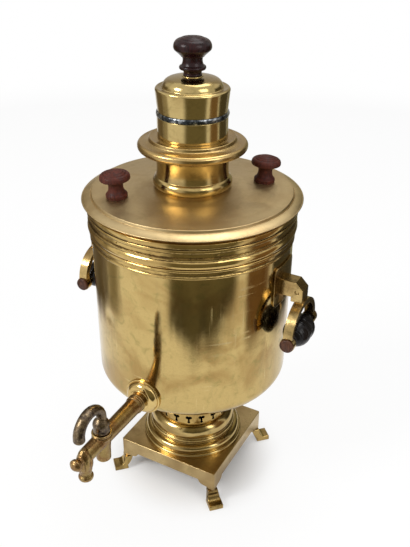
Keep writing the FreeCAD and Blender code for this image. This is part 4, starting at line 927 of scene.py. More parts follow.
def sweep(name, stations, sides=28):
    """A skin over rings: each station is a middle (along, up), a direction angle, and two radii."""
    shape = bmesh.new()
    rings = []
    for along, up, turn, flat, wide in stations:
        out = (math.cos(turn), math.sin(turn))
        ring = []
        for k in range(sides):
            a = 2 * math.pi * k / sides
            reach = flat * math.cos(a)
            ring.append(shape.verts.new((wide * math.sin(a), -along - reach * out[0], up + reach * out[1])))
        rings.append(ring)
    for low, high in zip(rings, rings[1:]):
        for k in range(sides):
            shape.faces.new((low[k], low[(k + 1) % sides], high[(k + 1) % sides], high[k]))
    shape.faces.new(rings[0])
    shape.faces.new(rings[-1])
    return link(name, shape)


def key_shape():
    plug = turned("plug", [
        (0, -barrel_below - 1.2 * MM), (4.6 * MM, -barrel_below - 1.2 * MM),
        (6.0 * MM, barrel_above - 0.3 * MM),
        (head_radius - 0.2 * MM, barrel_above), (head_radius, barrel_above + 1.2 * MM, 0.2 * MM),
        (head_radius, barrel_above + 3.2 * MM), (head_radius - 1.0 * MM, barrel_above + 3.8 * MM),
        (head_radius - 0.5 * MM, barrel_above + 5.4 * MM, 0.5 * MM),
        (hook_bar + 1.2 * MM, barrel_above + head_height - 1 * MM, 1.4 * MM),
        (0, barrel_above + head_height + 3 * MM, 0.6 * MM)], 48)
    root = hook_axis - hook_reach
    stations = [(root, barrel_above + 6 * MM, math.pi, hook_bar, hook_bar),
                (root, barrel_above + 12 * MM, math.pi, hook_bar, hook_bar)]
    for k in range(13):
        turn = math.pi - math.radians(184) * k / 12
        swell = 1 + 0.10 * math.sin(math.pi * k / 12) + 0.14 * max(0.0, k / 12 - 0.72) / 0.28
        along = hook_axis + hook_reach * math.cos(turn)
        up = hook_level + hook_reach * math.sin(turn) * 0.97
        stations.append((along, up, turn, hook_bar * swell, hook_bar * 1.12 * swell))
    end = hook_axis + hook_reach
    for fall, thick in ((2.6, 1.18), (3.8, 1.0), (4.6, 0.72), (5.0, 0.3)):
        stations.append((end - 0.03 * fall * MM, hook_level - fall * MM, -0.06,
                         hook_bar * thick, hook_bar * thick * 1.08))
    hook = sweep("hook", stations)
    key = melt("hooked_key", [plug, hook], 0.6 * MM, 4)
    key.data.transform(Matrix.Translation((0, -barrel_reach, tap_level)))
    return key


key_bronze = metal("key_dark_bronze", bronze_group, (0.40, 0.31, 0.18, 1), (0.075, 0.055, 0.045, 1),
                   (0.15, 0.105, 0.06, 1), 0.8, 0.20, 0.3)
fit(key_shape(), "key", "tap_bronze", key_bronze, "tap_key")


# ---- Handles ----
# On each side a brass plate on the body carries a square elbow and a flat bow with two eyes. A
# steel rod through the eyes holds a turned black grip between two turned wooden buttons.
plate_low, plate_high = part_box("handle_plate_right")
elbow_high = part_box("handle_elbow_right")[1]
bow_low, bow_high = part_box("handle_bow_right")
grip_low, grip_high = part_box("grip_right")
button_low, button_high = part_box("grip_button_near_right")
plate_sheet = 2.0 * MM
bow_reach = (bow_low.x + bow_high.x) / 2
bow_outer = bow_high.y
bow_sheet = 6.0 * MM
bow_half_width = 5.0 * MM
bow_level = bow_high.z - bow_outer
eye_radius = 7.8 * MM
grip_level = (grip_low.z + grip_high.z) / 2
grip_radius = grip_high.x - bow_reach
ring_pitch = 3.4 * MM
sides = {"right": 0, "left": 180}


def plate_shape(name):
    """The plate: a bent sheet with bevelled edges and clipped corners, close round the body."""
    height, width = plate_high.z - plate_low.z, plate_high.y - plate_low.y
    shape = bmesh.new()
    columns, rows = 14, 10
    layers = []
    for out in (0.15 * MM, plate_sheet):
        layer = []
        for i in range(columns + 1):
            across = (i / columns - 0.5) * width
            for j in range(rows + 1):
                up = (j / rows - 0.5) * height
                clip = max(0.0, abs(across) / (width / 2) + abs(up) / (height / 2) - 1.86)
                across_here = across * (1 - clip * 0.5)
                up_here = up * (1 - clip * 0.5)
                turn = across_here / body_radius
                reach = body_radius + out
                layer.append(shape.verts.new((reach * math.cos(turn), reach * math.sin(turn),
                                              (plate_low.z + plate_high.z) / 2 + up_here)))
        layers.append(layer)
    inner, outer = layers

    def patch(*corners):
        shape.faces.new([layer[i * (rows + 1) + j] for layer, i, j in corners])

    for i in range(columns):
        for j in range(rows):
            for layer in layers:
                patch((layer, i, j), (layer, i + 1, j), (layer, i + 1, j + 1), (layer, i, j + 1))
    for i in range(columns):
        for j in (0, rows):
            patch((inner, i, j), (inner, i + 1, j), (outer, i + 1, j), (outer, i, j))
    for j in range(rows):
        for i in (0, columns):
            patch((inner, i, j), (inner, i, j + 1), (outer, i, j + 1), (outer, i, j))
    return soften(link(name, shape), 0.5 * MM, 2, 50)


def elbow_shape(name):
    """The elbow: a square bar from the plate, bent down with a wide chamfer to saddle the bow."""
    under, top = elbow_high.z - 17.5 * MM, elbow_high.z
    foot = bow_level + bow_outer * 0.9
    outside = elbow_high.x
    arm = [(body_radius - 4 * MM, under), (outside - 12.6 * MM, under),
           (outside - 12.6 * MM, foot), (outside, foot), (outside, top - 8.2 * MM),
           (outside - 8.2 * MM, top), (body_radius - 4 * MM, top)]
    elbow = bar(name, arm, 8.0 * MM)
    saddle = disc("saddle", bow_outer - 0.1 * MM, -20 * MM, 20 * MM)
    saddle.data.transform(Matrix.Translation((bow_reach, 0, bow_level))
                          @ Matrix.Rotation(math.pi / 2, 4, "Y"))
    carve(elbow, saddle)
    carve(elbow, disc("body_back", body_radius + 0.8 * MM, under - 10 * MM, top + 10 * MM, 240))
    for side in (-1, 1):
        dimple = disc("dimple", 2.0 * MM, -1.2 * MM, 1.2 * MM, 24)
        dimple.data.transform(Matrix.Translation((outside - 6.5 * MM, side * 8.0 * MM, top - 11 * MM))
                              @ Matrix.Rotation(math.pi / 2, 4, "X"))
        carve(elbow, dimple)
    return soften(elbow, 0.8 * MM, 3)


def bow_shape(name):
    """The bow: a flat bar bent to a half circle over the grip, with a round eye at each end."""
    inner = bow_outer - bow_sheet
    drop = bow_level - grip_level
    outline = [(-bow_outer, -drop), (-inner, -drop), (-inner, 0)]
    outline += arc((-inner, 0), (inner, 0), -inner * 0.9999, 28)[:-1]
    outline += [(inner, 0), (inner, -drop), (bow_outer, -drop), (bow_outer, 0)]
    outline += arc((bow_outer, 0), (-bow_outer, 0), bow_outer * 0.9999, 32)[:-1] + [(-bow_outer, 0)]
    bow = bar(name, outline, bow_half_width)
    bow.data.transform(Matrix.Translation((0, 0, bow_level)) @ Matrix.Rotation(math.pi / 2, 4, "Z"))
    for side in (-1, 1):
        eye = disc("eye", eye_radius, inner + 0.02 * MM, bow_outer - 0.02 * MM, 48)
        eye.data.transform(Matrix.Translation((0, 0, grip_level))
                           @ Matrix.Rotation(-side * math.pi / 2, 4, "X"))
        carve(bow, eye, "UNION")
    bow.data.transform(Matrix.Translation((bow_reach, 0, 0)))
    return soften(bow, 1.0 * MM, 3, 40)


def grip_shape(name):
    """The grip: two swelling halves with a groove between them and fine rings cut all round."""
    end = grip_high.y
    bead, neck = 5.8 * MM, 5.2 * MM
    middle = grip_radius - 0.4 * MM
    outline = [(2.5 * MM, -end), (bead - 0.6 * MM, -end), (bead, -end + 0.6 * MM),
               (bead - 0.3 * MM, -end + 4.2 * MM, 0.8 * MM), (neck, -end + 5.4 * MM, -0.2 * MM),
               (neck + 1.8 * MM, -end + 7.0 * MM, -0.2 * MM), (middle, -0.9 * MM, 3.1 * MM),
               (middle - 0.2 * MM, -0.4 * MM), (middle - 0.2 * MM, 0.4 * MM), (middle, 0.9 * MM),
               (neck + 1.8 * MM, end - 7.0 * MM, 3.1 * MM), (neck, end - 5.4 * MM, -0.2 * MM),
               (bead - 0.3 * MM, end - 4.2 * MM, -0.2 * MM), (bead, end - 0.6 * MM, 0.8 * MM),
               (bead - 0.6 * MM, end), (2.5 * MM, end)]
    grip = turned(name, outline, 72, 0.2 * MM, 0.55 * MM)
    for corner in grip.data.vertices:
        level, radius = corner.co.z, math.hypot(corner.co.x, corner.co.y)
        if radius > neck + 2.5 * MM:
            cut = max(0.0, math.cos(2 * math.pi * level / ring_pitch) - 0.8) * MM
            corner.co.x *= 1 - cut / radius
            corner.co.y *= 1 - cut / radius
    grip.data.transform(Matrix.Translation((bow_reach, 0, grip_level))
                        @ Matrix.Rotation(math.pi / 2, 4, "X"))
    return grip


def grip_button_shape(name, flip):
    """A small turned wooden button on the end of the rod, with a ring cut in its face."""
    height = button_high.y - button_low.y
    radius = (button_high.z - button_low.z) / 2
    button = turned(name, [
        (0, 0), (radius - 0.5 * MM, 0), (radius, 0.5 * MM), (radius, height * 0.5, 0.1 * MM),
        (radius - 1.7 * MM, height - 0.3 * MM, 0.5 * MM), (radius - 2.2 * MM, height - 0.7 * MM),
        (radius - 3.4 * MM, height - 0.3 * MM), (1.0 * MM, height, 0.1 * MM), (0, height)], 40, 0.15 * MM)
    turn = Matrix.Rotation(math.pi / 2 * flip, 4, "X")
    button.data.transform(Matrix.Translation((bow_reach, -flip * bow_outer, grip_level)) @ turn)
    return button


def wood(name, light, dark, gloss, varnish, grain_size=260):
    """Turned wood: long grain along Z, darker in its pores and crevices, under wax or varnish."""
    made = bpy.data.materials.new(name)
    made.use_nodes = True
    tree = made.node_tree
    shader = tree.nodes["Principled BSDF"]
    shader.inputs["Coat Weight"].default_value = varnish
    shader.inputs["Coat Roughness"].default_value = 0.08
    shader.inputs["Specular IOR Level"].default_value = 0.16
    place = add(tree, "ShaderNodeTexCoord").outputs["Object"]
    grain = clouds(tree, place, grain_size, 5, 0.65, 1.2, (1.0, 1.0, 0.25))
    pores = clouds(tree, place, grain_size * 4, 2, 0.5, 0.0, (1.0, 1.0, 0.12))
    crests = add(tree, "ShaderNodeNewGeometry").outputs["Pointiness"]
    colour = blend(tree, band(tree, grain, 0.3, 0.72), dark, light)
    colour = blend(tree, times(tree, band(tree, pores, 0.60, 0.72), 0.6), colour, dark)
    colour = blend(tree, times(tree, band(tree, crests, 0.50, 0.46), 0.8), colour, (0.008, 0.004, 0.003, 1))
    tree.links.new(colour, shader.inputs["Base Color"])
    tree.links.new(band(tree, grain, 0.2, 0.8, gloss, gloss + 0.15), shader.inputs["Roughness"])
    bump = add(tree, "ShaderNodeBump", {"Height": times(tree, pores, grain, "ADD"), "Strength": 0.10,
                                        "Distance": 0.04 * MM})
    tree.links.new(bump.outputs[0], shader.inputs["Normal"])
    return made


handle_brass = metal("handle_worn_brass", brass_ageing_group, (0.56, 0.40, 0.165, 1),
                     (0.24, 0.14, 0.05, 1), (0.17, 0.125, 0.05, 1), 0.85, 0.20, 0.25)
black_wood = wood("grip_black_wood", (0.010, 0.008, 0.008, 1), (0.004, 0.003, 0.003, 1), 0.20, 0.16)
button_wood = wood("button_brown_wood", (0.115, 0.048, 0.026, 1), (0.040, 0.016, 0.010, 1), 0.38, 0.12)
bright_steel = sooty("bright_steel", (0.45, 0.44, 0.42, 1), (0.12, 0.10, 0.09, 1), 0.3, 0.25, 1.0)
for side, bearing in sides.items():
    made = [(plate_shape("bent_plate_" + side), "base", "brass", handle_brass, "handle_plate_"),
            (elbow_shape("elbow_block_" + side), "base", "brass", handle_brass, "handle_elbow_"),
            (bow_shape("flat_bow_" + side), "base", "brass", handle_brass, "handle_bow_"),
            (grip_shape("turned_grip_" + side), "grip_" + side, "black_wood", black_wood, "grip_")]
    for mark, flip in (("near", 1), ("far", -1)):
        made.append((grip_button_shape("rod_button_%s_%s" % (mark, side), flip), "base", "red_wood",
                     button_wood, "grip_button_%s_" % mark))
    for piece, body_name, finish, material, node in made:
        if bearing and "button" in node:
            node = {"grip_button_near_": "grip_button_far_", "grip_button_far_": "grip_button_near_"}[node]
        piece.data.transform(Matrix.Rotation(math.radians(bearing), 4, "Z"))
        fit(piece, body_name, finish, material, node + side)
    dress(bright_steel, "grip_rod_" + side)


# ---- Lid ----
# A spun brass plate that drops into the mouth of the body: a flared rim, a raised disc with a
# bright rounded edge, and a gentle cone up to the neck. Circular brushing gives it a satin sheen.
lid_low, lid_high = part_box("lid_plate")
neck_box_low, neck_box_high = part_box("lid_neck")
lid_radius = lid_high.x
lid_sheet = 1.6 * MM
skirt = body_radius - sheet - 0.5 * MM
lid_foot = body_radius + 1.1 * MM
lid_edge = 1.0 * MM
lid_flare = 5.0 * MM
disc_radius = body_radius - 2.7 * MM
rim_slope, disc_step, disc_slope = 3.4 * MM, 2.4 * MM, 3.7 * MM
lid_top = seat_level + lid_flare + lid_edge + rim_slope + disc_step
lid_bore = 35.2 * MM
neck_foot_radius = lid_bore + 3.4 * MM
edge_level = seat_level + lid_flare
edge_top = edge_level + lid_edge
lid_outline = [
    (skirt - lid_sheet, lid_low.z), (skirt, lid_low.z), (skirt, seat_level), (lid_foot, seat_level),
    (lid_radius - lid_edge, edge_level, -0.8 * MM), (lid_radius, edge_level + 0.5 * MM, 0.3 * MM),
    (lid_radius - lid_edge, edge_top, 0.3 * MM), (disc_radius + 1.4 * MM, edge_top + rim_slope, 0.5 * MM),
    (disc_radius + 0.7 * MM, edge_top + rim_slope - 0.5 * MM), (disc_radius, lid_top - 0.7 * MM),
    (disc_radius - 0.9 * MM, lid_top, 0.3 * MM), (neck_foot_radius + 1.5 * MM, lid_high.z),
    (lid_bore, lid_high.z), (lid_bore, lid_high.z - lid_sheet),
    (neck_foot_radius + 1.5 * MM, lid_high.z - lid_sheet),
    (skirt - lid_sheet, lid_top - lid_sheet - 1.6 * MM)]
lid_fall = disc_slope / (disc_radius - neck_foot_radius)


def brushed(name, rubbed, aged, olive, age, satin, strength=0.12):
    """Brass brushed in circles on the lathe: fine rings about the axis in its gloss and its skin."""
    made = metal(name, brass_ageing_group, rubbed, aged, olive, age, satin, 0.10)
    tree = made.node_tree
    shader = tree.nodes["Principled BSDF"]
    shader.inputs["Anisotropic"].default_value = 0.35
    place = add(tree, "ShaderNodeTexCoord").outputs["Object"]
    parts = add(tree, "ShaderNodeSeparateXYZ", {"Vector": place}).outputs
    radius = times(tree, times(tree, parts[0], parts[0]), times(tree, parts[1], parts[1]), "ADD")
    radius = times(tree, radius, 0.5, "POWER")
    ring = add(tree, "ShaderNodeCombineXYZ", {"X": radius, "Y": parts[2]}).outputs[0]
    rings = clouds(tree, ring, 900, 3, 0.7)
    broad_rings = clouds(tree, ring, 160, 3, 0.6)
    mottle = clouds(tree, place, 34, 4, 0.6, 0.5)
    colour = shader.inputs["Base Color"].links[0].from_socket
    colour = blend(tree, times(tree, band(tree, broad_rings, 0.35, 0.7), 0.22), colour, aged)
    rough = shader.inputs["Roughness"].links[0].from_socket
    rough = times(tree, rough, times(tree, rings, strength), "ADD")
    rough = times(tree, rough, times(tree, band(tree, mottle, 0.35, 0.7), 0.07), "ADD")
    tree.links.new(colour, shader.inputs["Base Color"])
    tree.links.new(rough, shader.inputs["Roughness"])
    bump = add(tree, "ShaderNodeBump", {"Height": rings, "Strength": 0.12, "Distance": 0.05 * MM,
                                        "Normal": shader.inputs["Normal"].links[0].from_socket})
    tree.links.new(bump.outputs[0], shader.inputs["Normal"])
    return made


lid_brass = brushed("lid_brushed_brass", (0.56, 0.425, 0.22, 1), (0.40, 0.27, 0.12, 1),
                    (0.33, 0.26, 0.12, 1), 0.5, 0.30)
lid = turned("spun_lid", lid_outline, 240, 0.3 * MM, 6 * MM)
fit(lid, "lid", "brass", lid_brass, "lid_plate")

neck_swell = 11.5 * MM
neck_narrow = lid_bore + 1.4 * MM
neck_flare = neck_narrow + 1.4 * MM
spun_neck = turned("spun_lid_neck", [
    (lid_bore, neck_box_low.z), (neck_foot_radius, neck_box_low.z),
    (neck_narrow + 0.6 * MM, neck_box_low.z + neck_swell, 2.7 * MM),
    (neck_flare, neck_box_high.z - 1.6 * MM, -1.1 * MM), (neck_flare, neck_box_high.z, 0.3 * MM),
    (lid_bore, neck_box_high.z)], 160, 0.25 * MM)
fit(spun_neck, "lid", "brass", pedestal_brass, "lid_neck")


# ---- Lid knobs ----
# Two turned knobs of red-brown wood, dry and matt, with rings cut in their tops. A steel stud with
# a nut under the lid holds each.
lid_knobs = {"near": (80.3 * MM, 39.8), "far": (75.8 * MM, 231.0)}
knob_foot, knob_waist, knob_head = 10.8 * MM, 7.4 * MM, 15.2 * MM


def lid_knob_shape(name):
    head = knob_head
    return turned(name, [
        (0, 0), (knob_foot - 0.3 * MM, 0), (knob_foot, 0.5 * MM), (knob_foot - 0.2 * MM, 1.2 * MM),
        (knob_foot - 1.2 * MM, 5.0 * MM, 0.8 * MM), (knob_waist, 11.5 * MM, -0.7 * MM),
        (head - 1.6 * MM, 18.2 * MM, -2.2 * MM), (head, 20.6 * MM, 0.7 * MM),
        (head - 3.2 * MM, 25.0 * MM, 1.1 * MM),
        (head - 3.8 * MM, 24.5 * MM), (head - 6.0 * MM, 26.2 * MM, 0.2 * MM), (head - 6.5 * MM, 25.8 * MM),
        (head - 8.6 * MM, 27.1 * MM, 0.2 * MM), (head - 9.1 * MM, 26.7 * MM),
        (head - 11 * MM, 27.4 * MM, 0.1 * MM),
        (1.2 * MM, 27.6 * MM), (0, 27.6 * MM)], 72, 0.18 * MM)


red_wood = wood("knob_red_wood", (0.105, 0.024, 0.014, 1), (0.036, 0.010, 0.007, 1), 0.50, 0.04)
thread_steel = sooty("stud_steel", (0.30, 0.29, 0.28, 1), (0.07, 0.06, 0.05, 1), 0.4, 0.35, 1.0)
for mark, (reach, bearing) in lid_knobs.items():
    knob = lid_knob_shape("turned_lid_knob_" + mark)
    turn = math.radians(-90 - bearing)
    tilt = math.atan(lid_fall)
    x, y = -reach * math.sin(math.radians(bearing)), -reach * math.cos(math.radians(bearing))
    level = lid_top + lid_fall * (disc_radius - reach)
    knob.data.transform(Matrix.Translation((x, y, level)) @ Matrix.Rotation(turn, 4, "Z")
                        @ Matrix.Rotation(tilt, 4, "Y"))
    fit(knob, "lid", "red_wood", red_wood, "lid_knob_" + mark)
    dress(thread_steel, "lid_knob_stud_" + mark, "lid_knob_nut_" + mark)


# ---- Crown ----
# The turned brass flange that a teapot stands on, brazed to a collar that slips over the fire tube.
# Its rim is thick and round, and its top is brushed.
flange_low, flange_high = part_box("crown_flange")
collar_low, collar_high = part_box("crown_collar")
crown_radius = flange_high.x
collar_radius = collar_high.x
sleeve_radius = 34.0 * MM
crown_foot = sleeve_radius + 6.4 * MM
crown_edge = flange_low.z + 9.4 * MM
crown_step = collar_radius + 8.4 * MM
crown_flange = turned("turned_crown", [
    (sleeve_radius, flange_low.z), (crown_foot, flange_low.z),
    (crown_foot + 0.6 * MM, flange_low.z + 1.4 * MM, 0.2 * MM),
    (crown_radius - 3.0 * MM, crown_edge - 4.2 * MM, -2.0 * MM), (crown_radius, crown_edge, 0.9 * MM),
    (crown_radius - 3.0 * MM, crown_edge + 4.2 * MM, 1.0 * MM),
    (crown_step + 0.4 * MM, flange_high.z - 3.2 * MM, -0.6 * MM),
    (crown_step, flange_high.z - 1.0 * MM), (crown_step - 1.4 * MM, flange_high.z, 0.5 * MM),
    (collar_radius + 0.8 * MM, flange_high.z, -0.3 * MM), (sleeve_radius, flange_high.z)], 192, 0.4 * MM)
crown_brass = brushed("crown_brushed_brass", (0.53, 0.375, 0.155, 1), (0.30, 0.18, 0.06, 1),
                      (0.22, 0.165, 0.055, 1), 0.6, 0.16)
fit(crown_flange, "crown", "brass", crown_brass, "crown_flange")
sleeve_bore = sleeve_radius - 2.0 * MM
collar = turned("crown_tube", [
    (sleeve_bore, collar_low.z), (sleeve_radius, collar_low.z), (sleeve_radius, flange_high.z),
    (collar_radius, flange_high.z), (collar_radius, collar_high.z - 0.3 * MM),
    (collar_radius - 0.3 * MM, collar_high.z),
    (collar_radius - 1.0 * MM, collar_high.z), (collar_radius - 1.0 * MM, flange_high.z + 2.2 * MM),
    (sleeve_bore, flange_high.z + 1.0 * MM)], 160, 0.2 * MM, 3 * MM)
cap_brass = metal("cap_polished_brass", brass_ageing_group, (0.50, 0.375, 0.155, 1),
                  (0.28, 0.185, 0.065, 1), (0.24, 0.19, 0.065, 1), 0.7, 0.17)
fit(planish(collar, 0.10 * MM, 22 * MM), "crown", "brass", cap_brass, "crown_collar")


# ---- Cap ----
# The spun brass cap that smothers the fire, on a tinned steel sleeve whose uneven grey lip shows
# between it and the collar. Its shoulder is rolled and its dome steps up to the knob.
liner_low, liner_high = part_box("cap_liner")
shell_low, shell_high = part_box("cap_shell")
cap_seat = shell_low.z
cap_crest = shell_high.z
cap_foot_radius = collar_radius - 0.7 * MM
cap_shoulder_radius = cap_foot_radius + 1.9 * MM
cap_shoulder = cap_seat + 20.7 * MM
cap_dome_radius = cap_shoulder_radius - 6.8 * MM
cap_valley = cap_shoulder + 1.8 * MM
cap_crest_radius = cap_dome_radius - 8.6 * MM
cap_sheet = 1.2 * MM
cap_bore = cap_foot_radius - cap_sheet
slip = collar_radius - 1.3 * MM
lip_radius = liner_high.x
liner = turned("tinned_sleeve", [
    (slip - 1.0 * MM, liner_low.z), (slip, liner_low.z), (slip, cap_seat - 5.0 * MM),
    (lip_radius - 0.9 * MM, cap_seat - 5.0 * MM), (lip_radius - 0.9 * MM, cap_seat, 0.7 * MM),
    (cap_bore, cap_seat),
    (cap_bore, liner_high.z), (slip - 1.0 * MM, liner_high.z)], 160, 0.3 * MM, 1.4 * MM)
for corner in liner.data.vertices:
    if corner.co.z > cap_seat - 5.3 * MM and math.hypot(corner.co.x, corner.co.y) > slip + 0.6 * MM:
        bruise = noise.noise(corner.co / (7 * MM)) * 0.32 * MM - 0.12 * MM
        corner.co += Vector((corner.co.x, corner.co.y, 0)).normalized() * bruise
tin = sooty("lip_tin", (0.50, 0.53, 0.55, 1), (0.035, 0.04, 0.045, 1), 0.75, 0.16, 1.0)
fit(liner, "cap", "tinned_steel", tin, "cap_liner")
cap_lean = (cap_shoulder_radius - cap_foot_radius) * 8.0 / 20.7
cap = turned("spun_cap", [
    (cap_bore, cap_seat), (cap_foot_radius, cap_seat), (cap_shoulder_radius, cap_shoulder - 1.2 * MM),
    (cap_shoulder_radius - 2.2 * MM, cap_shoulder + 1.9 * MM, 0.9 * MM),
    (cap_dome_radius + 0.6 * MM, cap_valley - 0.6 * MM, -0.2 * MM), (cap_dome_radius, cap_valley),
    (cap_crest_radius, cap_crest - 2.2 * MM, 2.3 * MM), (10.5 * MM, cap_crest - 0.7 * MM, 0.3 * MM),
    (10.0 * MM, cap_crest, 0.2 * MM), (2.3 * MM, cap_crest), (2.3 * MM, cap_crest - 1.8 * MM),
    (6.0 * MM, cap_crest - 1.8 * MM), (10.0 * MM, cap_crest - 2.3 * MM),
    (cap_crest_radius - MM, cap_crest - 3.6 * MM),
    (cap_dome_radius - cap_sheet, cap_valley - cap_sheet, -2.0 * MM),
    (cap_shoulder_radius - 1.4 * MM - cap_sheet, cap_shoulder - 1.6 * MM),
    (cap_bore + cap_lean, liner_high.z), (cap_bore, liner_high.z)], 160, 0.35 * MM, 3 * MM)
fit(planish(cap, 0.15 * MM, 20 * MM), "cap", "brass", cap_brass, "cap_shell")


# ---- Cap knob ----
# The large knob of dark mahogany, turned with a foot, a bead, a waist and a ringed mushroom head,
# and French polished, so that it shines almost black. A steel stud and a nut hold it.
knob_low, knob_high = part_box("cap_knob")
big_head = knob_high.x
brim = knob_low.z + 27.0 * MM
crest = knob_high.z
knob_outline = [
    (0, knob_low.z), (8.7 * MM, knob_low.z), (8.7 * MM, knob_low.z + 1.6 * MM, 0.4 * MM),
    (9.6 * MM, knob_low.z + 5.0 * MM, -0.4 * MM), (12.2 * MM, knob_low.z + 5.7 * MM),
    (12.3 * MM, knob_low.z + 8.9 * MM, 0.7 * MM), (10.7 * MM, knob_low.z + 9.8 * MM, -0.3 * MM),
    (10.1 * MM, knob_low.z + 17.4 * MM, -0.9 * MM), (11.7 * MM, knob_low.z + 18.4 * MM, 0.4 * MM),
    (big_head - 2.0 * MM, brim - 4.6 * MM), (big_head, brim, 0.8 * MM),
    (big_head - 4.6 * MM, brim + 6.3 * MM, 1.2 * MM),
    (big_head - 5.3 * MM, brim + 5.8 * MM), (big_head - 9.0 * MM, brim + 7.9 * MM, 0.4 * MM),
    (big_head - 9.7 * MM, brim + 7.3 * MM), (big_head - 13.4 * MM, crest - 0.3 * MM, 0.2 * MM),
    (big_head - 14.0 * MM, crest - 0.8 * MM), (big_head - 14.8 * MM, crest - 0.3 * MM),
    (1.2 * MM, crest), (0, crest)]
mahogany = wood("knob_mahogany", (0.026, 0.005, 0.005, 1), (0.007, 0.002, 0.002, 1), 0.22, 0.10)
fit(turned("mahogany_knob", knob_outline, 96, 0.25 * MM), "cap", "mahogany", mahogany, "cap_knob")
dress(thread_steel, "cap_knob_stud", "cap_knob_nut")


# ---- Floor and light ----
# A plain white floor that runs out of sight, and a white room. Old brass shows nothing but what
# stands around it, so plain cloth panels stand round the piece, where only its gloss sees them.
floor_size = 12.0


def seen_white(tree):
    """1 for rays of the camera, of gloss and of glass, which see the white background."""
    rays = add(tree, "ShaderNodeLightPath").outputs
    return times(tree, times(tree, rays["Is Camera Ray"], rays["Is Glossy Ray"], "MAXIMUM"),
                 rays["Is Transmission Ray"], "MAXIMUM")


def floor_paint():
    made = bpy.data.materials.new("floor_white")
    made.use_nodes = True
    tree = made.node_tree
    tree.nodes.clear()
    white = add(tree, "ShaderNodeEmission", {"Color": (1, 1, 1, 1), "Strength": 1.0})
    place = add(tree, "ShaderNodeTexCoord").outputs["Object"]
    reach = add(tree, "ShaderNodeVectorMath", {"Vector": place}, operation="LENGTH").outputs["Value"]
    rays = add(tree, "ShaderNodeLightPath").outputs
    height = times(tree, times(tree, rays["Is Camera Ray"], 0.34), 0.52, "ADD")
    share = times(tree, times(tree, seen_white(tree), height), band(tree, reach, 0.055, 0.12))
    share = times(tree, share, times(tree, rays["Is Camera Ray"], band(tree, reach, 0.5, 2.0)), "MAXIMUM")
    chalk = add(tree, "ShaderNodeBsdfDiffuse", {"Color": (0.9, 0.9, 0.9, 1)})
    mixed = add(tree, "ShaderNodeMixShader", {0: share, 1: chalk.outputs[0], 2: white.outputs[0]})
    add(tree, "ShaderNodeOutputMaterial", {"Surface": mixed.outputs[0]})
    return made


shape = bmesh.new()
bmesh.ops.create_grid(shape, x_segments=1, y_segments=1, size=floor_size / 2)
floor = link("studio_floor", shape)
floor.location.z = -0.0004
paint(floor, floor_paint())


def cloth_tone(name, half, low, high, soft, dark, light, rise):
    """Cloth seen in the brass: its edges fade and wander, and it grows lighter as it rises."""
    made = bpy.data.materials.new(name)
    made.use_nodes = True
    tree = made.node_tree
    tree.nodes.clear()
    place = add(tree, "ShaderNodeTexCoord").outputs["Object"]
    parts = add(tree, "ShaderNodeSeparateXYZ", {"Vector": place}).outputs
    folds = clouds(tree, place, 9, 3, 0.55, 0.4, (1.0, 1.0, 0.25))
    wander = times(tree, times(tree, folds, 0.5, "SUBTRACT"), soft * 2.2)
    across = times(tree, parts[1], parts[0], "ARCTAN2")
    across = add(tree, "ShaderNodeMath", {0: across}, operation="ABSOLUTE").outputs[0]
    across = times(tree, across, wander, "ADD")
    up = times(tree, parts[2], times(tree, wander, 0.25), "ADD")
    up = times(tree, up, times(tree, times(tree, across, across), -0.12), "ADD")
    mask = times(tree, band(tree, across, half, half - soft), band(tree, up, low + 0.02, low + 0.08))
    mask = times(tree, mask, band(tree, up, high, high - 0.10))
    tone = blend(tree, band(tree, parts[2], 0.04, rise), dark, light)
    tone = blend(tree, times(tree, band(tree, folds, 0.35, 0.7), 0.5), tone, light)
    cloth = add(tree, "ShaderNodeEmission", {"Color": tone, "Strength": 1.0})
    bare = add(tree, "ShaderNodeBsdfTransparent")
    mixed = add(tree, "ShaderNodeMixShader", {0: mask, 1: bare.outputs[0], 2: cloth.outputs[0]})
    add(tree, "ShaderNodeOutputMaterial", {"Surface": mixed.outputs[0]})
    return made


def panel(name, bearing, spread, low, high, dark, light, reach, soft, rise):
    """A cloth panel bent round the piece: its middle bearing from +X, its spread in degrees, and
    its lower and upper edge. Only reflections see it, and it casts no shadow."""
    shape = bmesh.new()
    steps = max(2, round(spread / 4))
    edge = []
    for k in range(steps + 1):
        a = math.radians(spread * (k / steps - 0.5))
        edge.append([shape.verts.new((reach * math.cos(a), reach * math.sin(a), up)) for up in (low, high)])
    for near, far in zip(edge, edge[1:]):
        shape.faces.new((near[0], far[0], far[1], near[1]))
    cloth = link(name, shape)
    cloth.rotation_euler.z = math.radians(bearing)
    paint(cloth, cloth_tone(name + "_tone", math.radians(spread / 2), low, high, soft, dark, light, rise))
    for rays in ("visible_camera", "visible_diffuse", "visible_shadow", "visible_transmission"):
        setattr(cloth, rays, False)
    return cloth


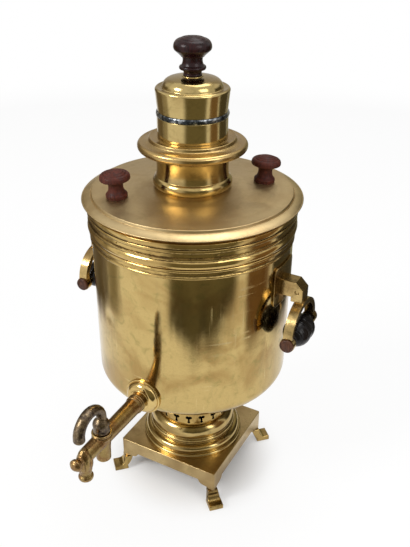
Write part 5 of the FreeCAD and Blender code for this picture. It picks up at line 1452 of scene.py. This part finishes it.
# Each: name, bearing, spread, lower and upper edge, dark and light tone, reach, softness, rise.
panels = (
    ("front_dark", -55, 78, 0.0, 0.55, (0.020, 0.019, 0.012, 1), (0.21, 0.19, 0.12, 1), 0.37, 0.22, 0.24),
    ("left_brown", 174, 54, 0.0, 0.60, (0.08, 0.06, 0.03, 1), (0.20, 0.16, 0.10, 1), 0.36, 0.18, 0.3),
    ("left_grey", -154, 40, 0.0, 0.60, (0.24, 0.21, 0.14, 1), (0.46, 0.42, 0.34, 1), 0.40, 0.24, 0.3),
    ("right_brown", 8, 36, 0.0, 0.50, (0.13, 0.055, 0.018, 1), (0.26, 0.17, 0.09, 1), 0.35, 0.10, 0.3),
    ("right_black", 48, 50, 0.0, 0.60, (0.014, 0.012, 0.008, 1), (0.10, 0.09, 0.06, 1), 0.34, 0.12, 0.3),
    ("right_moss", 84, 26, 0.0, 0.60, (0.18, 0.18, 0.08, 1), (0.32, 0.31, 0.20, 1), 0.40, 0.08, 0.3),
    ("back_high", 118, 110, 0.25, 1.40, (0.36, 0.33, 0.29, 1), (0.50, 0.47, 0.43, 1), 0.90, 0.30, 0.3))
for name, *shape_and_tone in panels:
    panel("panel_" + name, *shape_and_tone)


def lamp(name, place, size, power, aim=(0, 0, 0.25)):
    """A soft square lamp that looks at the piece."""
    light = bpy.data.lights.new(name, "AREA")
    light.size = size
    light.energy = power
    holder = bpy.data.objects.new(name, light)
    bpy.context.scene.collection.objects.link(holder)
    holder.location = place
    holder.rotation_euler = (Vector(aim) - Vector(place)).to_track_quat("-Z", "Y").to_euler()
    return holder


lamp("lamp_window", (-1.0, -1.5, 1.5), 0.7, 26)
lamp("lamp_fill", (1.7, -0.5, 1.4), 1.0, 10)
lamp("lamp_top", (0.1, 0.5, 2.1), 1.2, 14)

world = bpy.data.worlds.new("white_room")
bpy.context.scene.world = world
world.use_nodes = True
sky = world.node_tree
backdrop = sky.nodes["Background"]
backdrop.inputs["Color"].default_value = (1, 1, 1, 1)
sky.links.new(times(sky, times(sky, seen_white(sky), 0.45), 0.55, "ADD"), backdrop.inputs["Strength"])
bpy.context.scene.view_settings.view_transform = "Standard"


# ---- Camera ----
# The photograph was taken by hand from above and a little to the right of the tap, with the lens
# almost level: these are its place in metres and its turn in degrees.
camera_place = Vector((0.3249, -0.5804, 0.63495))
camera_pitch = 29.365
camera_heading = 29.2415 - 1.165
camera_roll = 0.55
camera_lens = 45.6
camera = bpy.data.objects.new("camera", bpy.data.cameras.new("camera"))
bpy.context.scene.collection.objects.link(camera)
camera.data.lens = camera_lens
camera.data.clip_start = 0.05
camera.matrix_world = (Matrix.Translation(camera_place)
                       @ Matrix.Rotation(math.radians(camera_heading), 4, "Z")
                       @ Matrix.Rotation(math.radians(90 - camera_pitch), 4, "X")
                       @ Matrix.Rotation(math.radians(camera_roll), 4, "Z"))
bpy.context.scene.camera = camera
